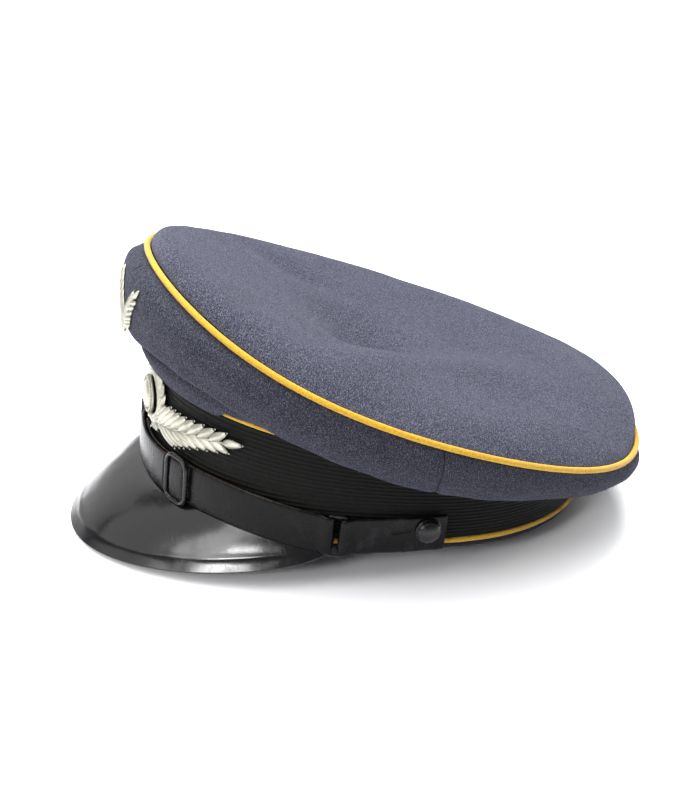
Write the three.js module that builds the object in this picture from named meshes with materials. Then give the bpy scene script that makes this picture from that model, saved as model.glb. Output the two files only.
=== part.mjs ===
// Peaked visor cap, resting on a level surface on its visor and the back of its band.
// Millimetres, +Z up, front towards -Y, wearer's left towards +X.
import * as THREE from 'three';

// ---------- driving dimensions ----------
const bandLength = 102;        // half length of the band's wall face, front to back
const bandWidth = 87;          // half width of the band's wall face
const bandWall = 2.8;          // wall of the wool-covered band
const bandArch = 5;            // how far the lower edge lifts at each side
const sideLift = 2.6;          // and a little more just ahead of the side button
const sideLiftAngle = 78;
const sideLiftSpread = 24;
const bandTop = 60.5;          // centre of the upper piping at the front
const bandTopDrop = 14.5;      // how far that seam drops towards the back
const baseEdge = 2.6;          // the band's lower edge at front and back
const baseStripTop = 5.5;      // top of the wool edge below the lower piping
const baseStripOut = 1.2;
const lowerPipingHeight = 7;
const bandPipingDiameter = 2.4;
const mohairThickness = 1.7;
const gap = 0.3;               // seating gap between neighbouring pieces

const crownLength = 114.8;     // half length of the crown seam
const crownWidth = 111.7;      // half width of the crown seam
const crownBack = 6.5;         // crown centre set back from the band centre
const crownSquareness = 0.0145;
const crownHeight = [68.3, 33.7, 4, 0, 1]; // cosine terms of the seam's height round the crown
const crownPipingDiameter = 2.7;
const crownPipingSides = 8;
const bandPipingSides = 6;
const clothThickness = 2.1;
const topThickness = 2.3;
const topCentre = 67.5;        // height of the top at its middle
const topEdgeLift = 0.8;       // how far the top's edge stands above the seam line
const topRings = [0, 0.18, 0.4, 0.6, 0.76, 0.87, 0.935, 0.972, 1];
const panelRows = [0, 0.05, 0.1, 0.15, 0.2, 0.3, 0.36, 0.4, 0.44, 0.5, 0.55, 0.6, 0.65, 0.7, 0.8, 0.9, 1];
const frontColumns = 11;
const backColumns = 13;
const panelSeamOut = 0.2;      // upper edge of the side panels, outward of the crown seam
const tuckOverPiping = 3.8;    // where the cloth turns in over the band piping
const tuckInside = 1.6;
const tuckLift = [1.9, 1.55];  // its height above the band seam there and at the band's inner face
const sideSeamAngle = 80;      // side seam, degrees from the front
const seamHalfGap = 0.09;      // degrees
const creaseDepth = 4.5;       // crease under the front of the wall: how far in from the fold
const creaseDrop = 3.2;        // and how far below it
const creaseRollOut = 8.6;     // soft roll below the crease, outward of the band's wall face
const creaseRollDrop = 7.5;    // and below the fold
const creaseFade = [36, 48];   // degrees over which the crease runs out
const hemOut = 5.2;            // where the cloth hangs over the band piping at the front
const hemLift = -0.2;
const hemFade = [27, 35];

const visorThickness = 1.9;
const visorHalfAngle = 62.5;   // degrees of band the visor spans each side
const visorUnderStrap = 0.6;   // top face where it meets the band, below the strap's edge
const visorRootOut = 4.2;
const visorArch = 0.09;        // rise between root and edge, as a share of the distance
const visorColumns = 27;
const visorRows = [0, 0.25, 0.5, 0.75, 1];

const strapThickness = 1.6;
const strapOut = 3.2;          // inner face, outward of the wall face
const strapEnd = 62.4;         // degrees from the front, at the loop
const strapLapStart = -7.5;    // inner end of the left strap, past the front
const strapLapEnd = 15.6;      // outer end of the right strap
const strapStepStart = -15;    // where the right strap starts to step over the left one
const strapStepLength = 6;
const strapColumns = [22, 26]; // left, right
const tabStart = 68.0;
const tabEnd = 90.8;
const tabColumns = 6;
const loopAngle = 65.2;
const loopHalfWidth = 3.3;
const loopHalfHeight = 9.4;
const loopWire = 1.4;
const loopCorner = 2;
const loopHeight = 16.8;       // centre of the loop
const buckleAngle = 20.7;
const buckleHeight = 20.8;
const buckleSize = [15.6, 23.4]; // along the strap, across the strap
const buckleRim = 2.1;
const buckleThickness = 2.2;
const buckleCorner = 5.6;
const buckleOut = 5.35;        // back of the buckle, outward of the wall face
const buttonAngle = 86;
const buttonHeight = 22;
const buttonRadius = 5.7;
const buttonDome = 4.2;
const buttonSides = 16;
const badgeThickness = 1.6;
const bossRadius = 9;
const bossHeight = 3;
const bossCentre = 46.5;
const bossSides = 20;
const ornamentBevel = 0.15;
const crownOrnamentOut = 0.75;

const roundSegments = 56;      // sections round the band and round the crown
const cornerDivisions = 1;     // each corner of the small metal rings has twice as many sides
const bevelShare = 0.3;        // bevel of the small metal rings, as a share of their thickness
const rad = Math.PI / 180;

// Side panel of the crown, upper part: how far its outer face stands outward of the crown seam
// at two depths below the seam, then at the foot of the wall and at the fold, above the base.
const sideWall = [
  { angle: 0, out1: 6.8, drop1: 5.5, out2: 9.4, drop2: 14, out3: 9.8, wallZ: 83, out4: 8.6, foldZ: 75.5 },
  { angle: 20, out1: 6.6, drop1: 5.5, out2: 9.0, drop2: 13, out3: 8.0, wallZ: 84, out4: 5.6, foldZ: 76.0 },
  { angle: 38, out1: 5.0, drop1: 5.5, out2: 6.8, drop2: 12, out3: 4.6, wallZ: 77, out4: 1.4, foldZ: 71.0 },
  { angle: 55, out1: 3.2, drop1: 5.5, out2: 3.8, drop2: 12, out3: 2.2, wallZ: 67, out4: -1.4, foldZ: 61.3 },
  { angle: 75, out1: 2.4, drop1: 5.5, out2: 2.6, drop2: 12, out3: 0.8, wallZ: 57, out4: -3.4, foldZ: 50.8 },
  { angle: 95, out1: 1.8, drop1: 5.0, out2: 1.6, drop2: 9.5, out3: 0.0, wallZ: 48.5, out4: -4.4, foldZ: 43.4 },
  { angle: 115, out1: 1.4, drop1: 4.5, out2: 1.0, drop2: 8.2, out3: -0.9, wallZ: 40, out4: -5.4, foldZ: 35.4 },
  { angle: 140, out1: 1.0, drop1: 4.0, out2: 0.3, drop2: 7.6, out3: -1.9, wallZ: 31.5, out4: -6.4, foldZ: 27.8 },
  { angle: 180, out1: 0.8, drop1: 4.5, out2: -0.4, drop2: 9, out3: -3.0, wallZ: 27, out4: -7.0, foldZ: 23.4 },
];

// Its underside: distance outward of the band's wall face and height above the base,
// then the height above the band seam where it meets the band's piping.
const sideTuck = [
  { angle: 0, out: 7.0, height: 66.5, over: 2.4 },
  { angle: 20, out: 9.0, height: 68.5, over: 2.4 },
  { angle: 38, out: 9.5, height: 66.5, over: 2.2 },
  { angle: 55, out: 9.0, height: 60.0, over: -0.4 },
  { angle: 75, out: 9.0, height: 51.0, over: -0.8 },
  { angle: 95, out: 8.5, height: 44.5, over: -1 },
  { angle: 115, out: 8.5, height: 38.0, over: -1 },
  { angle: 140, out: 8.0, height: 33.0, over: -1 },
  { angle: 180, out: 8.0, height: 30.0, over: -1 },
];

// Soft roll of the top just inside its seam: its height, and how close to the seam it rises.
const topRoll = [
  { angle: 0, rise: 7.4, power: 36 },
  { angle: 50, rise: 6.6, power: 36 },
  { angle: 100, rise: 6.2, power: 24 },
  { angle: 140, rise: 10.6, power: 15 },
  { angle: 180, rise: 13.4, power: 15 },
];

// Visor outer edge: sideways, forward and height of its top face.
const visorEdge = [
  { angle: 0, side: 0, front: 140.5, height: -18.2 },
  { angle: 15, side: 22.0, front: 135.8, height: -17.0 },
  { angle: 30, side: 42.0, front: 122.0, height: -14.4 },
  { angle: 45, side: 59.0, front: 102.0, height: -10.2 },
  { angle: 60, side: 71.8, front: 80.0, height: -4.4 },
  { angle: 75, side: 79.8, front: 60.6, height: 1.4 },
  { angle: 90, side: 83.8, front: 48.2, height: 5.0 },
];

// Chin strap edges above the base, by degrees from the front.
const strapEdges = [
  { angle: 0, low: 9.9, high: 27.6 },
  { angle: 17, low: 10.6, high: 29.2 },
  { angle: 32, low: 11.4, high: 30.0 },
  { angle: 45, low: 10.4, high: 29.0 },
  { angle: 57, low: 8.8, high: 26.9 },
  { angle: 66, low: 8.2, high: 25.6 },
];
const tabEdges = [
  { angle: 66, low: 8.0, high: 25.4 },
  { angle: 75, low: 10.6, high: 27.0 },
  { angle: 93, low: 12.0, high: 28.4 },
];

// Outline of the band ornament: lower and upper edge, toothed by its leaves.
const bandOrnament = [
  { angle: 0, low: 31.0, high: 61.2 },
  { angle: 4, low: 31.6, high: 60.8 },
  { angle: 8, low: 33.2, high: 59.6 },
  { angle: 11, low: 35.2, high: 56.8 },
  { angle: 13, low: 37.0, high: 52.6 },
  { angle: 15, low: 33.6, high: 53.8 },
  { angle: 18, low: 35.4, high: 51.4 },
  { angle: 20, low: 33.4, high: 52.8 },
  { angle: 24, low: 37.2, high: 50.4 },
  { angle: 26, low: 35.4, high: 51.6 },
  { angle: 30, low: 39.6, high: 49.6 },
  { angle: 32, low: 38.2, high: 50.6 },
  { angle: 36, low: 43.0, high: 49.0 },
  { angle: 40.5, low: 47.0, high: 48.4 },
];
// Outline of the crown ornament, by degrees from the front of the crown.
const crownOrnament = [
  { angle: 0, low: 78.4, high: 84.0 },
  { angle: 1.2, low: 78.8, high: 86.0 },
  { angle: 2.4, low: 79.8, high: 92.4 },
  { angle: 3.6, low: 81.0, high: 91.2 },
  { angle: 4.6, low: 82.8, high: 97.2 },
  { angle: 5.8, low: 86.2, high: 96.2 },
  { angle: 7, low: 91.0, high: 101.0 },
  { angle: 8.2, low: 97.6, high: 99.8 },
];

// ---------- curves ----------
// Smooth value of one column of a table at an angle. A mirrored table carries on past
// both ends as its own reflection, so its curve is level there.
function column(table, key, angle, isMirrored = true) {
  const last = table.length - 1;
  const row = (k) => {
    if (table[k]) return table[k];
    const end = table[k < 0 ? 0 : last];
    if (!isMirrored) return end;
    const inner = table[k < 0 ? -k : 2 * last - k];
    return { angle: 2 * end.angle - inner.angle, [key]: inner[key] };
  };
  let start = 0;
  while (start < last - 1 && angle > table[start + 1].angle) start += 1;
  const [before, from, to, after] = [-1, 0, 1, 2].map((step) => row(start + step));
  const span = to.angle - from.angle;
  const slope = (a, b) => (b[key] - a[key]) / (b.angle - a.angle) * span;
  const u = THREE.MathUtils.clamp((angle - from.angle) / span, 0, 1);
  return (2 * u ** 3 - 3 * u ** 2 + 1) * from[key] + (u ** 3 - 2 * u ** 2 + u) * slope(before, to)
    + (3 * u ** 2 - 2 * u ** 3) * to[key] + (u ** 3 - u ** 2) * slope(from, after);
}

// Straight-line value of one column of a table, the same on both sides of the front.
function outline(table, key, angle) {
  const a = Math.abs(angle);
  const next = Math.max(table.findIndex((row) => row.angle >= a - 1e-9), 1);
  const from = table[next - 1];
  const to = table[next];
  return THREE.MathUtils.lerp(from[key], to[key], (a - from.angle) / (to.angle - from.angle));
}

const steps = (count, from = 0, to = 1) =>
  Array.from({ length: count + 1 }, (_, i) => from + (to - from) * i / count);
const allRound = (count) => steps(count).slice(0, -1).map((u) => (u + 0.5 / count) * 360);
const fromFront = (angle) => Math.abs(THREE.MathUtils.euclideanModulo(angle + 180, 360) - 180);
function baseLift(angle) {
  const fromPeak = (fromFront(angle) - sideLiftAngle) / sideLiftSpread;
  return bandArch * Math.sin(angle * rad) ** 2 + sideLift * Math.exp(-fromPeak * fromPeak);
}
const topSeam = (angle) => bandTop - bandTopDrop * (1 - Math.cos(angle * rad)) / 2;

// Height of the crown seam at a share of the way out from the middle, as a smooth saddle.
function seamHeight(angle, share = 1) {
  return crownHeight.reduce((sum, term, k) => sum + term * share ** k * Math.cos(k * angle * rad), 0);
}

// Point on the band, a distance out from its wall face, at a height above the base.
function bandPoint(angle, out, z) {
  const s = Math.sin(angle * rad);
  const c = Math.cos(angle * rad);
  const normal = new THREE.Vector2(s / bandWidth, -c / bandLength).normalize();
  return new THREE.Vector3(bandWidth * s + normal.x * out, -bandLength * c + normal.y * out, z);
}

// Point on the crown seam's outline, a distance out from it.
function crownPoint(angle, out, z) {
  const squared = 1 - crownSquareness;
  const plan = (a) => new THREE.Vector2(
    crownWidth * (Math.sin(a * rad) + crownSquareness * Math.sin(3 * a * rad)) / squared,
    crownBack - crownLength * (Math.cos(a * rad) - crownSquareness * Math.cos(3 * a * rad)) / squared);
  const p = plan(angle);
  const along = plan(angle + 0.5).sub(plan(angle - 0.5)).normalize();
  return new THREE.Vector3(p.x + along.y * out, p.y - along.x * out, z);
}

// ---------- solids ----------
// Closed triangle mesh; one that is wound inside out is turned over.
function solid(points, faces) {
  let volume = 0;
  for (const [a, b, c] of faces) volume += points[a].dot(points[b].clone().cross(points[c]));
  const index = volume < 0 ? faces.map(([a, b, c]) => [a, c, b]) : faces;
  const geometry = new THREE.BufferGeometry().setFromPoints(points);
  geometry.setIndex(index.flat());
  geometry.computeVertexNormals();
  return geometry;
}

// Joins a row of section loops. A closed row is a ring, any other gets flat ends. Each
// section runs along its outer side and back along its inner side.
function sweep(loops, isClosed) {
  const n = loops[0].length;
  const m = loops.length;
  const faces = [];
  for (let i = 0; i < (isClosed ? m : m - 1); i += 1) {
    const a = i * n;
    const b = ((i + 1) % m) * n;
    for (let j = 0; j < n; j += 1) {
      const k = (j + 1) % n;
      faces.push([a + j, b + j, b + k], [a + j, b + k, a + k]);
    }
  }
  for (let j = 0; !isClosed && j < n / 2 - 1; j += 1) {
    const end = (m - 1) * n;
    faces.push([j, j + 1, n - 2 - j], [j, n - 2 - j, n - 1 - j]);
    faces.push([end + j, end + n - 2 - j, end + j + 1], [end + j, end + n - 1 - j, end + n - 2 - j]);
  }
  return solid(loops.flat(), faces);
}

// Sheet of even thickness behind the face surface(u, v), with u and v both from 0 to 1.
function sheet(surface, columns, rows, thickness) {
  const e = 1e-3;
  const between = (low, high) => [Math.max(low, 0), Math.min(high, 1)];
  return sweep(columns.map((u) => {
    const outer = rows.map((v) => surface(u, v));
    const inner = rows.map((v, i) => {
      const [u0, u1] = between(u - e, u + e);
      const [v0, v1] = between(v - e, v + e);
      const du = surface(u1, v).sub(surface(u0, v));
      const dv = surface(u, v1).sub(surface(u, v0));
      return outer[i].clone().addScaledVector(dv.cross(du).normalize(), -thickness);
    });
    return [...outer, ...inner.reverse()];
  }), false);
}

// Closed ring round the band from a section of [out, height] pairs, given at each angle.
function bandRing(section) {
  return sweep(allRound(roundSegments).map(
    (angle) => section(angle).map(([out, z]) => bandPoint(angle, out, z))), true);
}

// Round cord along a closed line given by point(angle, out, z) and a height at each angle.
function cordRing(point, height, diameter, sides, out = 0) {
  return sweep(allRound(roundSegments).map((angle) => allRound(sides).map((turn) => point(
    angle,
    out + diameter / 2 * Math.cos(turn * rad),
    height(angle) + diameter / 2 * Math.sin(turn * rad)))), true);
}

// Strip lying round the band, through the given angles.
function bandStrip(angles, low, high, innerOut, thickness) {
  return sweep(angles.map((angle) => {
    const face = (out) => steps(2, low(angle), high(angle)).map((z) => bandPoint(angle, out, z));
    return [...face(innerOut(angle) + thickness), ...face(innerOut(angle)).reverse()];
  }), false);
}

// Outline of a rectangle with round corners.
function roundedRectangle(Kind, width, height, corner) {
  const x = width / 2 - corner;
  const y = height / 2 - corner;
  return new Kind()
    .absarc(x, y, corner, 0, 90 * rad)
    .absarc(-x, y, corner, 90 * rad, 180 * rad)
    .absarc(-x, -y, corner, 180 * rad, 270 * rad)
    .absarc(x, -y, corner, 270 * rad, 360 * rad);
}

// Flat ring with bevelled edges, its back on z = 0.
function bevelledRing(width, height, corner, rim, thickness) {
  const shape = roundedRectangle(THREE.Shape, width, height, corner);
  shape.holes.push(roundedRectangle(THREE.Path, width - 2 * rim, height - 2 * rim, corner - rim));
  const bevel = bevelShare * thickness;
  return new THREE.ExtrudeGeometry(shape, {
    depth: thickness - 2 * bevel,
    curveSegments: cornerDivisions,
    bevelSegments: 1,
    bevelThickness: bevel,
    bevelSize: bevel,
    bevelOffset: -bevel,
  }).translate(0, 0, bevel);
}

// Turned piece with its back on z = 0, from [radius, height] pairs as shares of its own size.
function turned(profile, radius, height, sides) {
  const points = profile.map(([r, h]) => new THREE.Vector2(r * radius, h * height));
  return new THREE.LatheGeometry(points, sides).rotateX(90 * rad);
}

// ---------- crown ----------
// Outer face of the side panels: v runs from the crown seam down to the band seam.
function sideFace(angle, v) {
  const a = fromFront(angle);
  const wall = (key) => column(sideWall, key, a);
  const tuck = (key) => column(sideTuck, key, a);
  const seam = seamHeight(a);
  const top = topSeam(angle);
  const fold = crownPoint(angle, wall('out4'), wall('foldZ'));
  const foldOut = fold.distanceTo(bandPoint(angle, 0, fold.z));
  const under = bandPoint(angle, tuck('out'), tuck('height'));
  const over = bandPoint(angle, tuckOverPiping, top + tuck('over'));
  const crease = bandPoint(angle, foldOut - creaseDepth, fold.z - creaseDrop);
  const roll = bandPoint(angle, creaseRollOut, fold.z - creaseRollDrop);
  const hem = bandPoint(angle, hemOut, top + hemLift);
  const creased = 1 - THREE.MathUtils.smoothstep(a, ...creaseFade);
  const hemmed = 1 - THREE.MathUtils.smoothstep(a, ...hemFade);
  return new THREE.CatmullRomCurve3([
    crownPoint(angle, panelSeamOut, seam - crownPipingDiameter / 2 - gap),
    crownPoint(angle, wall('out1'), seam - wall('drop1')),
    crownPoint(angle, wall('out2'), seam - wall('drop2')),
    crownPoint(angle, wall('out3'), wall('wallZ')),
    fold,
    fold.clone().lerp(under, 0.5).lerp(crease, creased),
    under.clone().lerp(roll, creased),
    under.clone().lerp(over, 0.5).lerp(hem, hemmed),
    over,
    bandPoint(angle, tuckInside, top + tuckLift[0]),
    bandPoint(angle, -bandWall, top + tuckLift[1]),
  ], false, 'catmullrom').getPoint(v);
}

function sidePanel(from, to, columns) {
  const face = (u, v) => sideFace(THREE.MathUtils.lerp(from, to, u), v);
  return sheet(face, steps(columns), panelRows, clothThickness);
}

// Top: a hollowed saddle with a soft roll just inside its seam.
function topFace(share, angle) {
  const edge = crownPoint(angle, -crownPipingDiameter / 2 - gap, 0);
  const middle = topCentre - crownHeight[0] - topEdgeLift;
  const roll = column(topRoll, 'rise', fromFront(angle));
  const power = column(topRoll, 'power', fromFront(angle));
  const swell = middle + (roll - middle) * (1 - (1 - share ** 2) ** 1.5);
  return new THREE.Vector3(
    edge.x * share,
    crownBack + (edge.y - crownBack) * share,
    seamHeight(angle, share) + topEdgeLift + swell * (1 - share ** power));
}

function crownTop() {
  return sweep(allRound(roundSegments).map((angle) => {
    const face = topRings.map((share) => topFace(share, angle));
    const under = face.map((p) => new THREE.Vector3(p.x, p.y, p.z - topThickness));
    return [...face, ...under.reverse()];
  }), true);
}

// ---------- band ----------
const pipingOut = bandPipingDiameter / 2 + 0.1;
const lowerPiping = (angle) => baseLift(angle) + lowerPipingHeight;

function bandBody() {
  return bandRing((angle) => {
    const foot = baseLift(angle) + baseEdge;
    const ledge = baseLift(angle) + baseStripTop;
    const top = topSeam(angle) + bandPipingDiameter / 2;
    const face = -0.2;
    return [[face - bandWall, foot], [baseStripOut, foot], [baseStripOut, ledge],
      [face, ledge], [face, top], [face - bandWall, top]];
  });
}

function mohairBand() {
  return bandRing((angle) => {
    const low = lowerPiping(angle) + bandPipingDiameter / 2 + gap;
    const high = topSeam(angle) - bandPipingDiameter / 2 - gap;
    const back = 0.1;
    return [[back, low], [back + mohairThickness, low], [back + mohairThickness, high], [back, high]];
  });
}

// ---------- visor ----------
function visorFace(u, v) {
  const side = 2 * u - 1;
  const a = Math.abs(side);
  const rootHeight = column(strapEdges, 'low', a * visorHalfAngle) - visorUnderStrap;
  const root = bandPoint(side * visorHalfAngle, visorRootOut, rootHeight);
  const edge = new THREE.Vector3(
    Math.sign(side) * column(visorEdge, 'side', a * 90, false),
    -column(visorEdge, 'front', a * 90),
    column(visorEdge, 'height', a * 90));
  const arch = visorArch * root.distanceTo(edge) * Math.sin(Math.PI * v) * (1 - a * a);
  return root.clone().lerp(edge, v).add(new THREE.Vector3(0, 0, arch));
}

// ---------- chin strap ----------
const strapLow = (angle) => column(strapEdges, 'low', Math.abs(angle), false);
const strapHigh = (angle) => column(strapEdges, 'high', Math.abs(angle), false);
const tabLow = (angle) => column(tabEdges, 'low', Math.abs(angle), false);
const tabHigh = (angle) => column(tabEdges, 'high', Math.abs(angle), false);

// The right strap steps over the end of the left one in front.
function rightStrapOut(angle) {
  const step = THREE.MathUtils.smoothstep(angle, strapStepStart, strapStepStart + strapStepLength);
  return strapOut + (strapThickness + gap) * step;
}

// ---------- ornaments ----------
const ornamentOut = pipingOut + bandPipingDiameter / 2 + gap;
const bothSides = (table) => [...table.slice(1).map((row) => -row.angle).reverse(),
  ...table.map((row) => row.angle)];

function bandOrnamentPlate() {
  return sweep(bothSides(bandOrnament).map((angle) => {
    const low = outline(bandOrnament, 'low', angle);
    const high = outline(bandOrnament, 'high', angle);
    const front = steps(2, low + ornamentBevel, high - ornamentBevel);
    return [...front.map((z) => bandPoint(angle, ornamentOut + badgeThickness, z)),
      ...steps(2, low, high).reverse().map((z) => bandPoint(angle, ornamentOut, z))];
  }), false);
}

// Point on the crown's front at a height, outward of the cloth.
function frontPoint(angle, z, out) {
  const e = 1e-2;
  let v = 0.03;
  while (v < 0.6 && sideFace(angle, v).z > z) v += 0.002;
  const across = sideFace(angle + e, v).sub(sideFace(angle - e, v));
  const down = sideFace(angle, v + e).sub(sideFace(angle, v - e));
  return sideFace(angle, v).addScaledVector(down.cross(across).normalize(), out);
}

function crownOrnamentPlate() {
  return sweep(bothSides(crownOrnament).map((angle) => {
    const heights = steps(3, outline(crownOrnament, 'low', angle), outline(crownOrnament, 'high', angle));
    const face = (out) => heights.map((z) => frontPoint(angle, z, out));
    return [...face(crownOrnamentOut + badgeThickness), ...face(crownOrnamentOut).reverse()];
  }), false);
}

// ---------- assembly ----------
const material = (color, roughness, metalness = 0) =>
  new THREE.MeshStandardMaterial({ color, roughness, metalness });
const wool = material(0x5a5b6b, 0.95);
const pipingCloth = material(0xe6b422, 0.85);
const mohair = material(0x151614, 0.8);
const lacquer = material(0x0d0d0f, 0.18);
const leather = material(0x26272a, 0.5);
const blackMetal = material(0x141416, 0.35, 0.3);
const silverMetal = material(0xc9cabc, 0.35, 0.9);

const cap = new THREE.Group();

function add(name, geometry, look) {
  const mesh = new THREE.Mesh(geometry, look);
  mesh.name = name;
  mesh.up.set(0, 0, 1);
  cap.add(mesh);
  return mesh;
}

// A small piece stands on the band at an angle: its back out from the wall face, facing outward.
function addOnBand(name, geometry, look, angle, out, z) {
  const mesh = add(name, geometry, look);
  mesh.position.copy(bandPoint(angle, out, z));
  mesh.lookAt(bandPoint(angle, out + 1, z));
}

const loopRing = bevelledRing(2 * loopHalfWidth + loopWire, 2 * loopHalfHeight + loopWire,
  loopCorner, loopWire, loopWire);
const buckleRing = bevelledRing(buckleSize[0], buckleSize[1], buckleCorner, buckleRim, buckleThickness);
const button = turned([[0, 0], [0.91, 0], [1, 0.17], [0.93, 0.38], [0.7, 0.71], [0.38, 0.93], [0, 1]],
  buttonRadius, buttonDome, buttonSides);
const boss = turned([[0, 0], [1, 0], [1, 0.3], [0.86, 0.37], [0.7, 0.7], [0.36, 0.93], [0, 1]],
  bossRadius, bossHeight, bossSides);
const visor = sheet(visorFace, steps(visorColumns), visorRows, visorThickness);
const onStrap = strapOut + strapThickness + gap;
const loopOut = strapOut + (strapThickness - loopWire) / 2;

add('crown_top', crownTop(), wool);
add('piping_crown', cordRing(crownPoint, seamHeight, crownPipingDiameter, crownPipingSides), pipingCloth);
add('band_body', bandBody(), wool);
add('mohair_band', mohairBand(), mohair);
add('piping_band_top', cordRing(bandPoint, topSeam, bandPipingDiameter, bandPipingSides, pipingOut),
  pipingCloth);
add('piping_band_bottom',
  cordRing(bandPoint, lowerPiping, bandPipingDiameter, bandPipingSides, pipingOut), pipingCloth);
add('visor', visor, lacquer);
add('chin_strap_left', bandStrip(steps(strapColumns[0], strapLapStart, strapEnd),
  strapLow, strapHigh, () => strapOut, strapThickness), leather);
add('chin_strap_right', bandStrip(steps(strapColumns[1], -strapEnd, strapLapEnd),
  strapLow, strapHigh, rightStrapOut, strapThickness), leather);
add('band_badge', bandOrnamentPlate(), silverMetal);
addOnBand('badge_boss', boss, silverMetal, 0, ornamentOut + badgeThickness + gap, bossCentre);
add('crown_badge', crownOrnamentPlate(), silverMetal);

for (const [side, sign] of [['left', 1], ['right', -1]]) {
  const span = (from, to) => [sign * from, sign * to].sort((a, b) => a - b);
  add(`crown_side_front_${side}`,
    sidePanel(...span(seamHalfGap, sideSeamAngle - seamHalfGap), frontColumns), wool);
  add(`crown_side_back_${side}`,
    sidePanel(...span(sideSeamAngle + seamHalfGap, 180 - seamHalfGap), backColumns), wool);
  add(`strap_tab_${side}`,
    bandStrip(steps(tabColumns, ...span(tabStart, tabEnd)), tabLow, tabHigh, () => strapOut,
      strapThickness), leather);
  addOnBand(`strap_loop_${side}`, loopRing, blackMetal, sign * loopAngle, loopOut, loopHeight);
  addOnBand(`buckle_${side}`, buckleRing, blackMetal, sign * buckleAngle, buckleOut, buckleHeight);
  addOnBand(`side_button_${side}`, button, blackMetal, sign * buttonAngle, onStrap, buttonHeight);
}

// The cap rests on its visor's front edge and the back of its band, over the origin.
visor.computeBoundingBox();
const visorTip = visor.boundingBox.min;
cap.rotation.x = -Math.atan2(baseEdge - visorTip.z, bandLength + baseStripOut - visorTip.y);
const bounds = new THREE.Box3().setFromObject(cap, true);
const centre = bounds.getCenter(new THREE.Vector3());
cap.position.set(-centre.x, -centre.y, -bounds.min.z);

const group = new THREE.Group();
group.add(cap);
export default group;
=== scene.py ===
import math
import random

import bmesh
import bpy
from mathutils import Matrix, Vector, noise


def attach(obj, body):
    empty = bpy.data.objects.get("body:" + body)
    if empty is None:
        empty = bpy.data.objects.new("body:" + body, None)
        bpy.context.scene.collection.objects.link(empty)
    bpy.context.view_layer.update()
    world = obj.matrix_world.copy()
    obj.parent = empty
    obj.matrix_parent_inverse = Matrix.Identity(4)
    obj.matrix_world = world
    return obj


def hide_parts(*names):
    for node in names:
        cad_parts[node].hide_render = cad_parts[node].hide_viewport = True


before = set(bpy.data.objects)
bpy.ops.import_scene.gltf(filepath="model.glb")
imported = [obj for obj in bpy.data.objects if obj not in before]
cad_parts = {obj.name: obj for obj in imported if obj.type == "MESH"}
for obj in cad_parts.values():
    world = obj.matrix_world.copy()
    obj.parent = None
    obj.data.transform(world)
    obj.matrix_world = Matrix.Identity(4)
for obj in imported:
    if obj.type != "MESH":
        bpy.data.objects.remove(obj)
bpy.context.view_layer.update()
print("frame loaded:", len(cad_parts), "nodes")

# Pieces are modelled in millimetres on the level cap: front towards -Y, wearer's left
# towards +X, angles in degrees from the front. This lays the cap down as it rests.
rest = {"tilt": 5.1278, "back": 7.5972, "lift": 6.7628}  # degrees, mm, mm
restPlace = (
    Matrix.Scale(0.001, 4)
    @ Matrix.Translation((0, rest["back"], rest["lift"]))
    @ Matrix.Rotation(math.radians(-rest["tilt"]), 4, "X")
)


def srgb(code):  # hex colour turned to linear light
    channels = [int(code[i:i + 2], 16) / 255 for i in (1, 3, 5)]
    return [c / 12.92 if c <= 0.04045 else ((c + 0.055) / 1.055) ** 2.4 for c in channels] + [1]


def perMetre(millimetres):  # scale of a pattern that repeats at that size
    return 1000 / millimetres


def setInputs(tree, node, inputs):  # a node or a socket is linked, anything else is set
    for key, value in inputs.items():
        if isinstance(value, bpy.types.Node):
            value = next(socket for socket in value.outputs if socket.enabled)
        if isinstance(value, bpy.types.NodeSocket):
            tree.links.new(value, node.inputs[key])
        elif isinstance(key, str) and hasattr(node, key):
            setattr(node, key, value)
        else:
            node.inputs[key].default_value = value
    return node


def addNode(tree, kind, inputs):
    return setInputs(tree, tree.nodes.new("ShaderNode" + kind), inputs)


def noiseNode(tree, vector, size, detail=3, roughness=0.7):  # size in mm
    return addNode(tree, "TexNoise", {
        "Vector": vector, "Scale": perMetre(size), "Detail": detail, "Roughness": roughness})


def mapRange(tree, value, low, high, start=0, end=1):  # start where the value is low, end where it is high
    return addNode(tree, "MapRange", {
        "Value": value, "From Min": low, "From Max": high, "To Min": start, "To Max": end})


def mathNode(tree, operation, *values):
    return addNode(tree, "Math", {"operation": operation, **dict(enumerate(values))})


def mixColours(tree, factor, under, over):  # each colour a hex code or a node
    under, over = [srgb(colour) if isinstance(colour, str) else colour for colour in (under, over)]
    return addNode(tree, "Mix", {"data_type": "RGBA", "Factor": factor, 6: under, 7: over})


def bumpNode(tree, height, strength, depth, under=None):  # depth in mm; under: a bump that it lies on
    inputs = {"Height": height, "Strength": strength, "Distance": depth / 1000}
    if under:
        inputs["Normal"] = under
    return addNode(tree, "Bump", inputs)


def startMaterial(name, settings):
    material = bpy.data.materials.new(name)
    material.use_nodes = True
    tree = material.node_tree
    tree.nodes.clear()
    shader = addNode(tree, "BsdfPrincipled", settings)
    addNode(tree, "OutputMaterial", {"Surface": shader})
    return material, tree, shader, addNode(tree, "TexCoord", {}).outputs


woolLook = {
    "lit": "#353642", "shade": "#292a35", "fleck": "#0e0f15", "bright": "#686974", "lint": "#a39e97",
    "fibre": 0.8,      # mm; the real fibre is 0.03 mm, drawn coarser so that the nap shows
    "nap": 2.6,        # mm, tufts of the raised nap
    "mottle": 34,      # mm, where handling has laid the nap
    "lintSize": 2.2,   # mm, specks of pale lint
    "bloom": "#9396ab",
}


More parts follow.
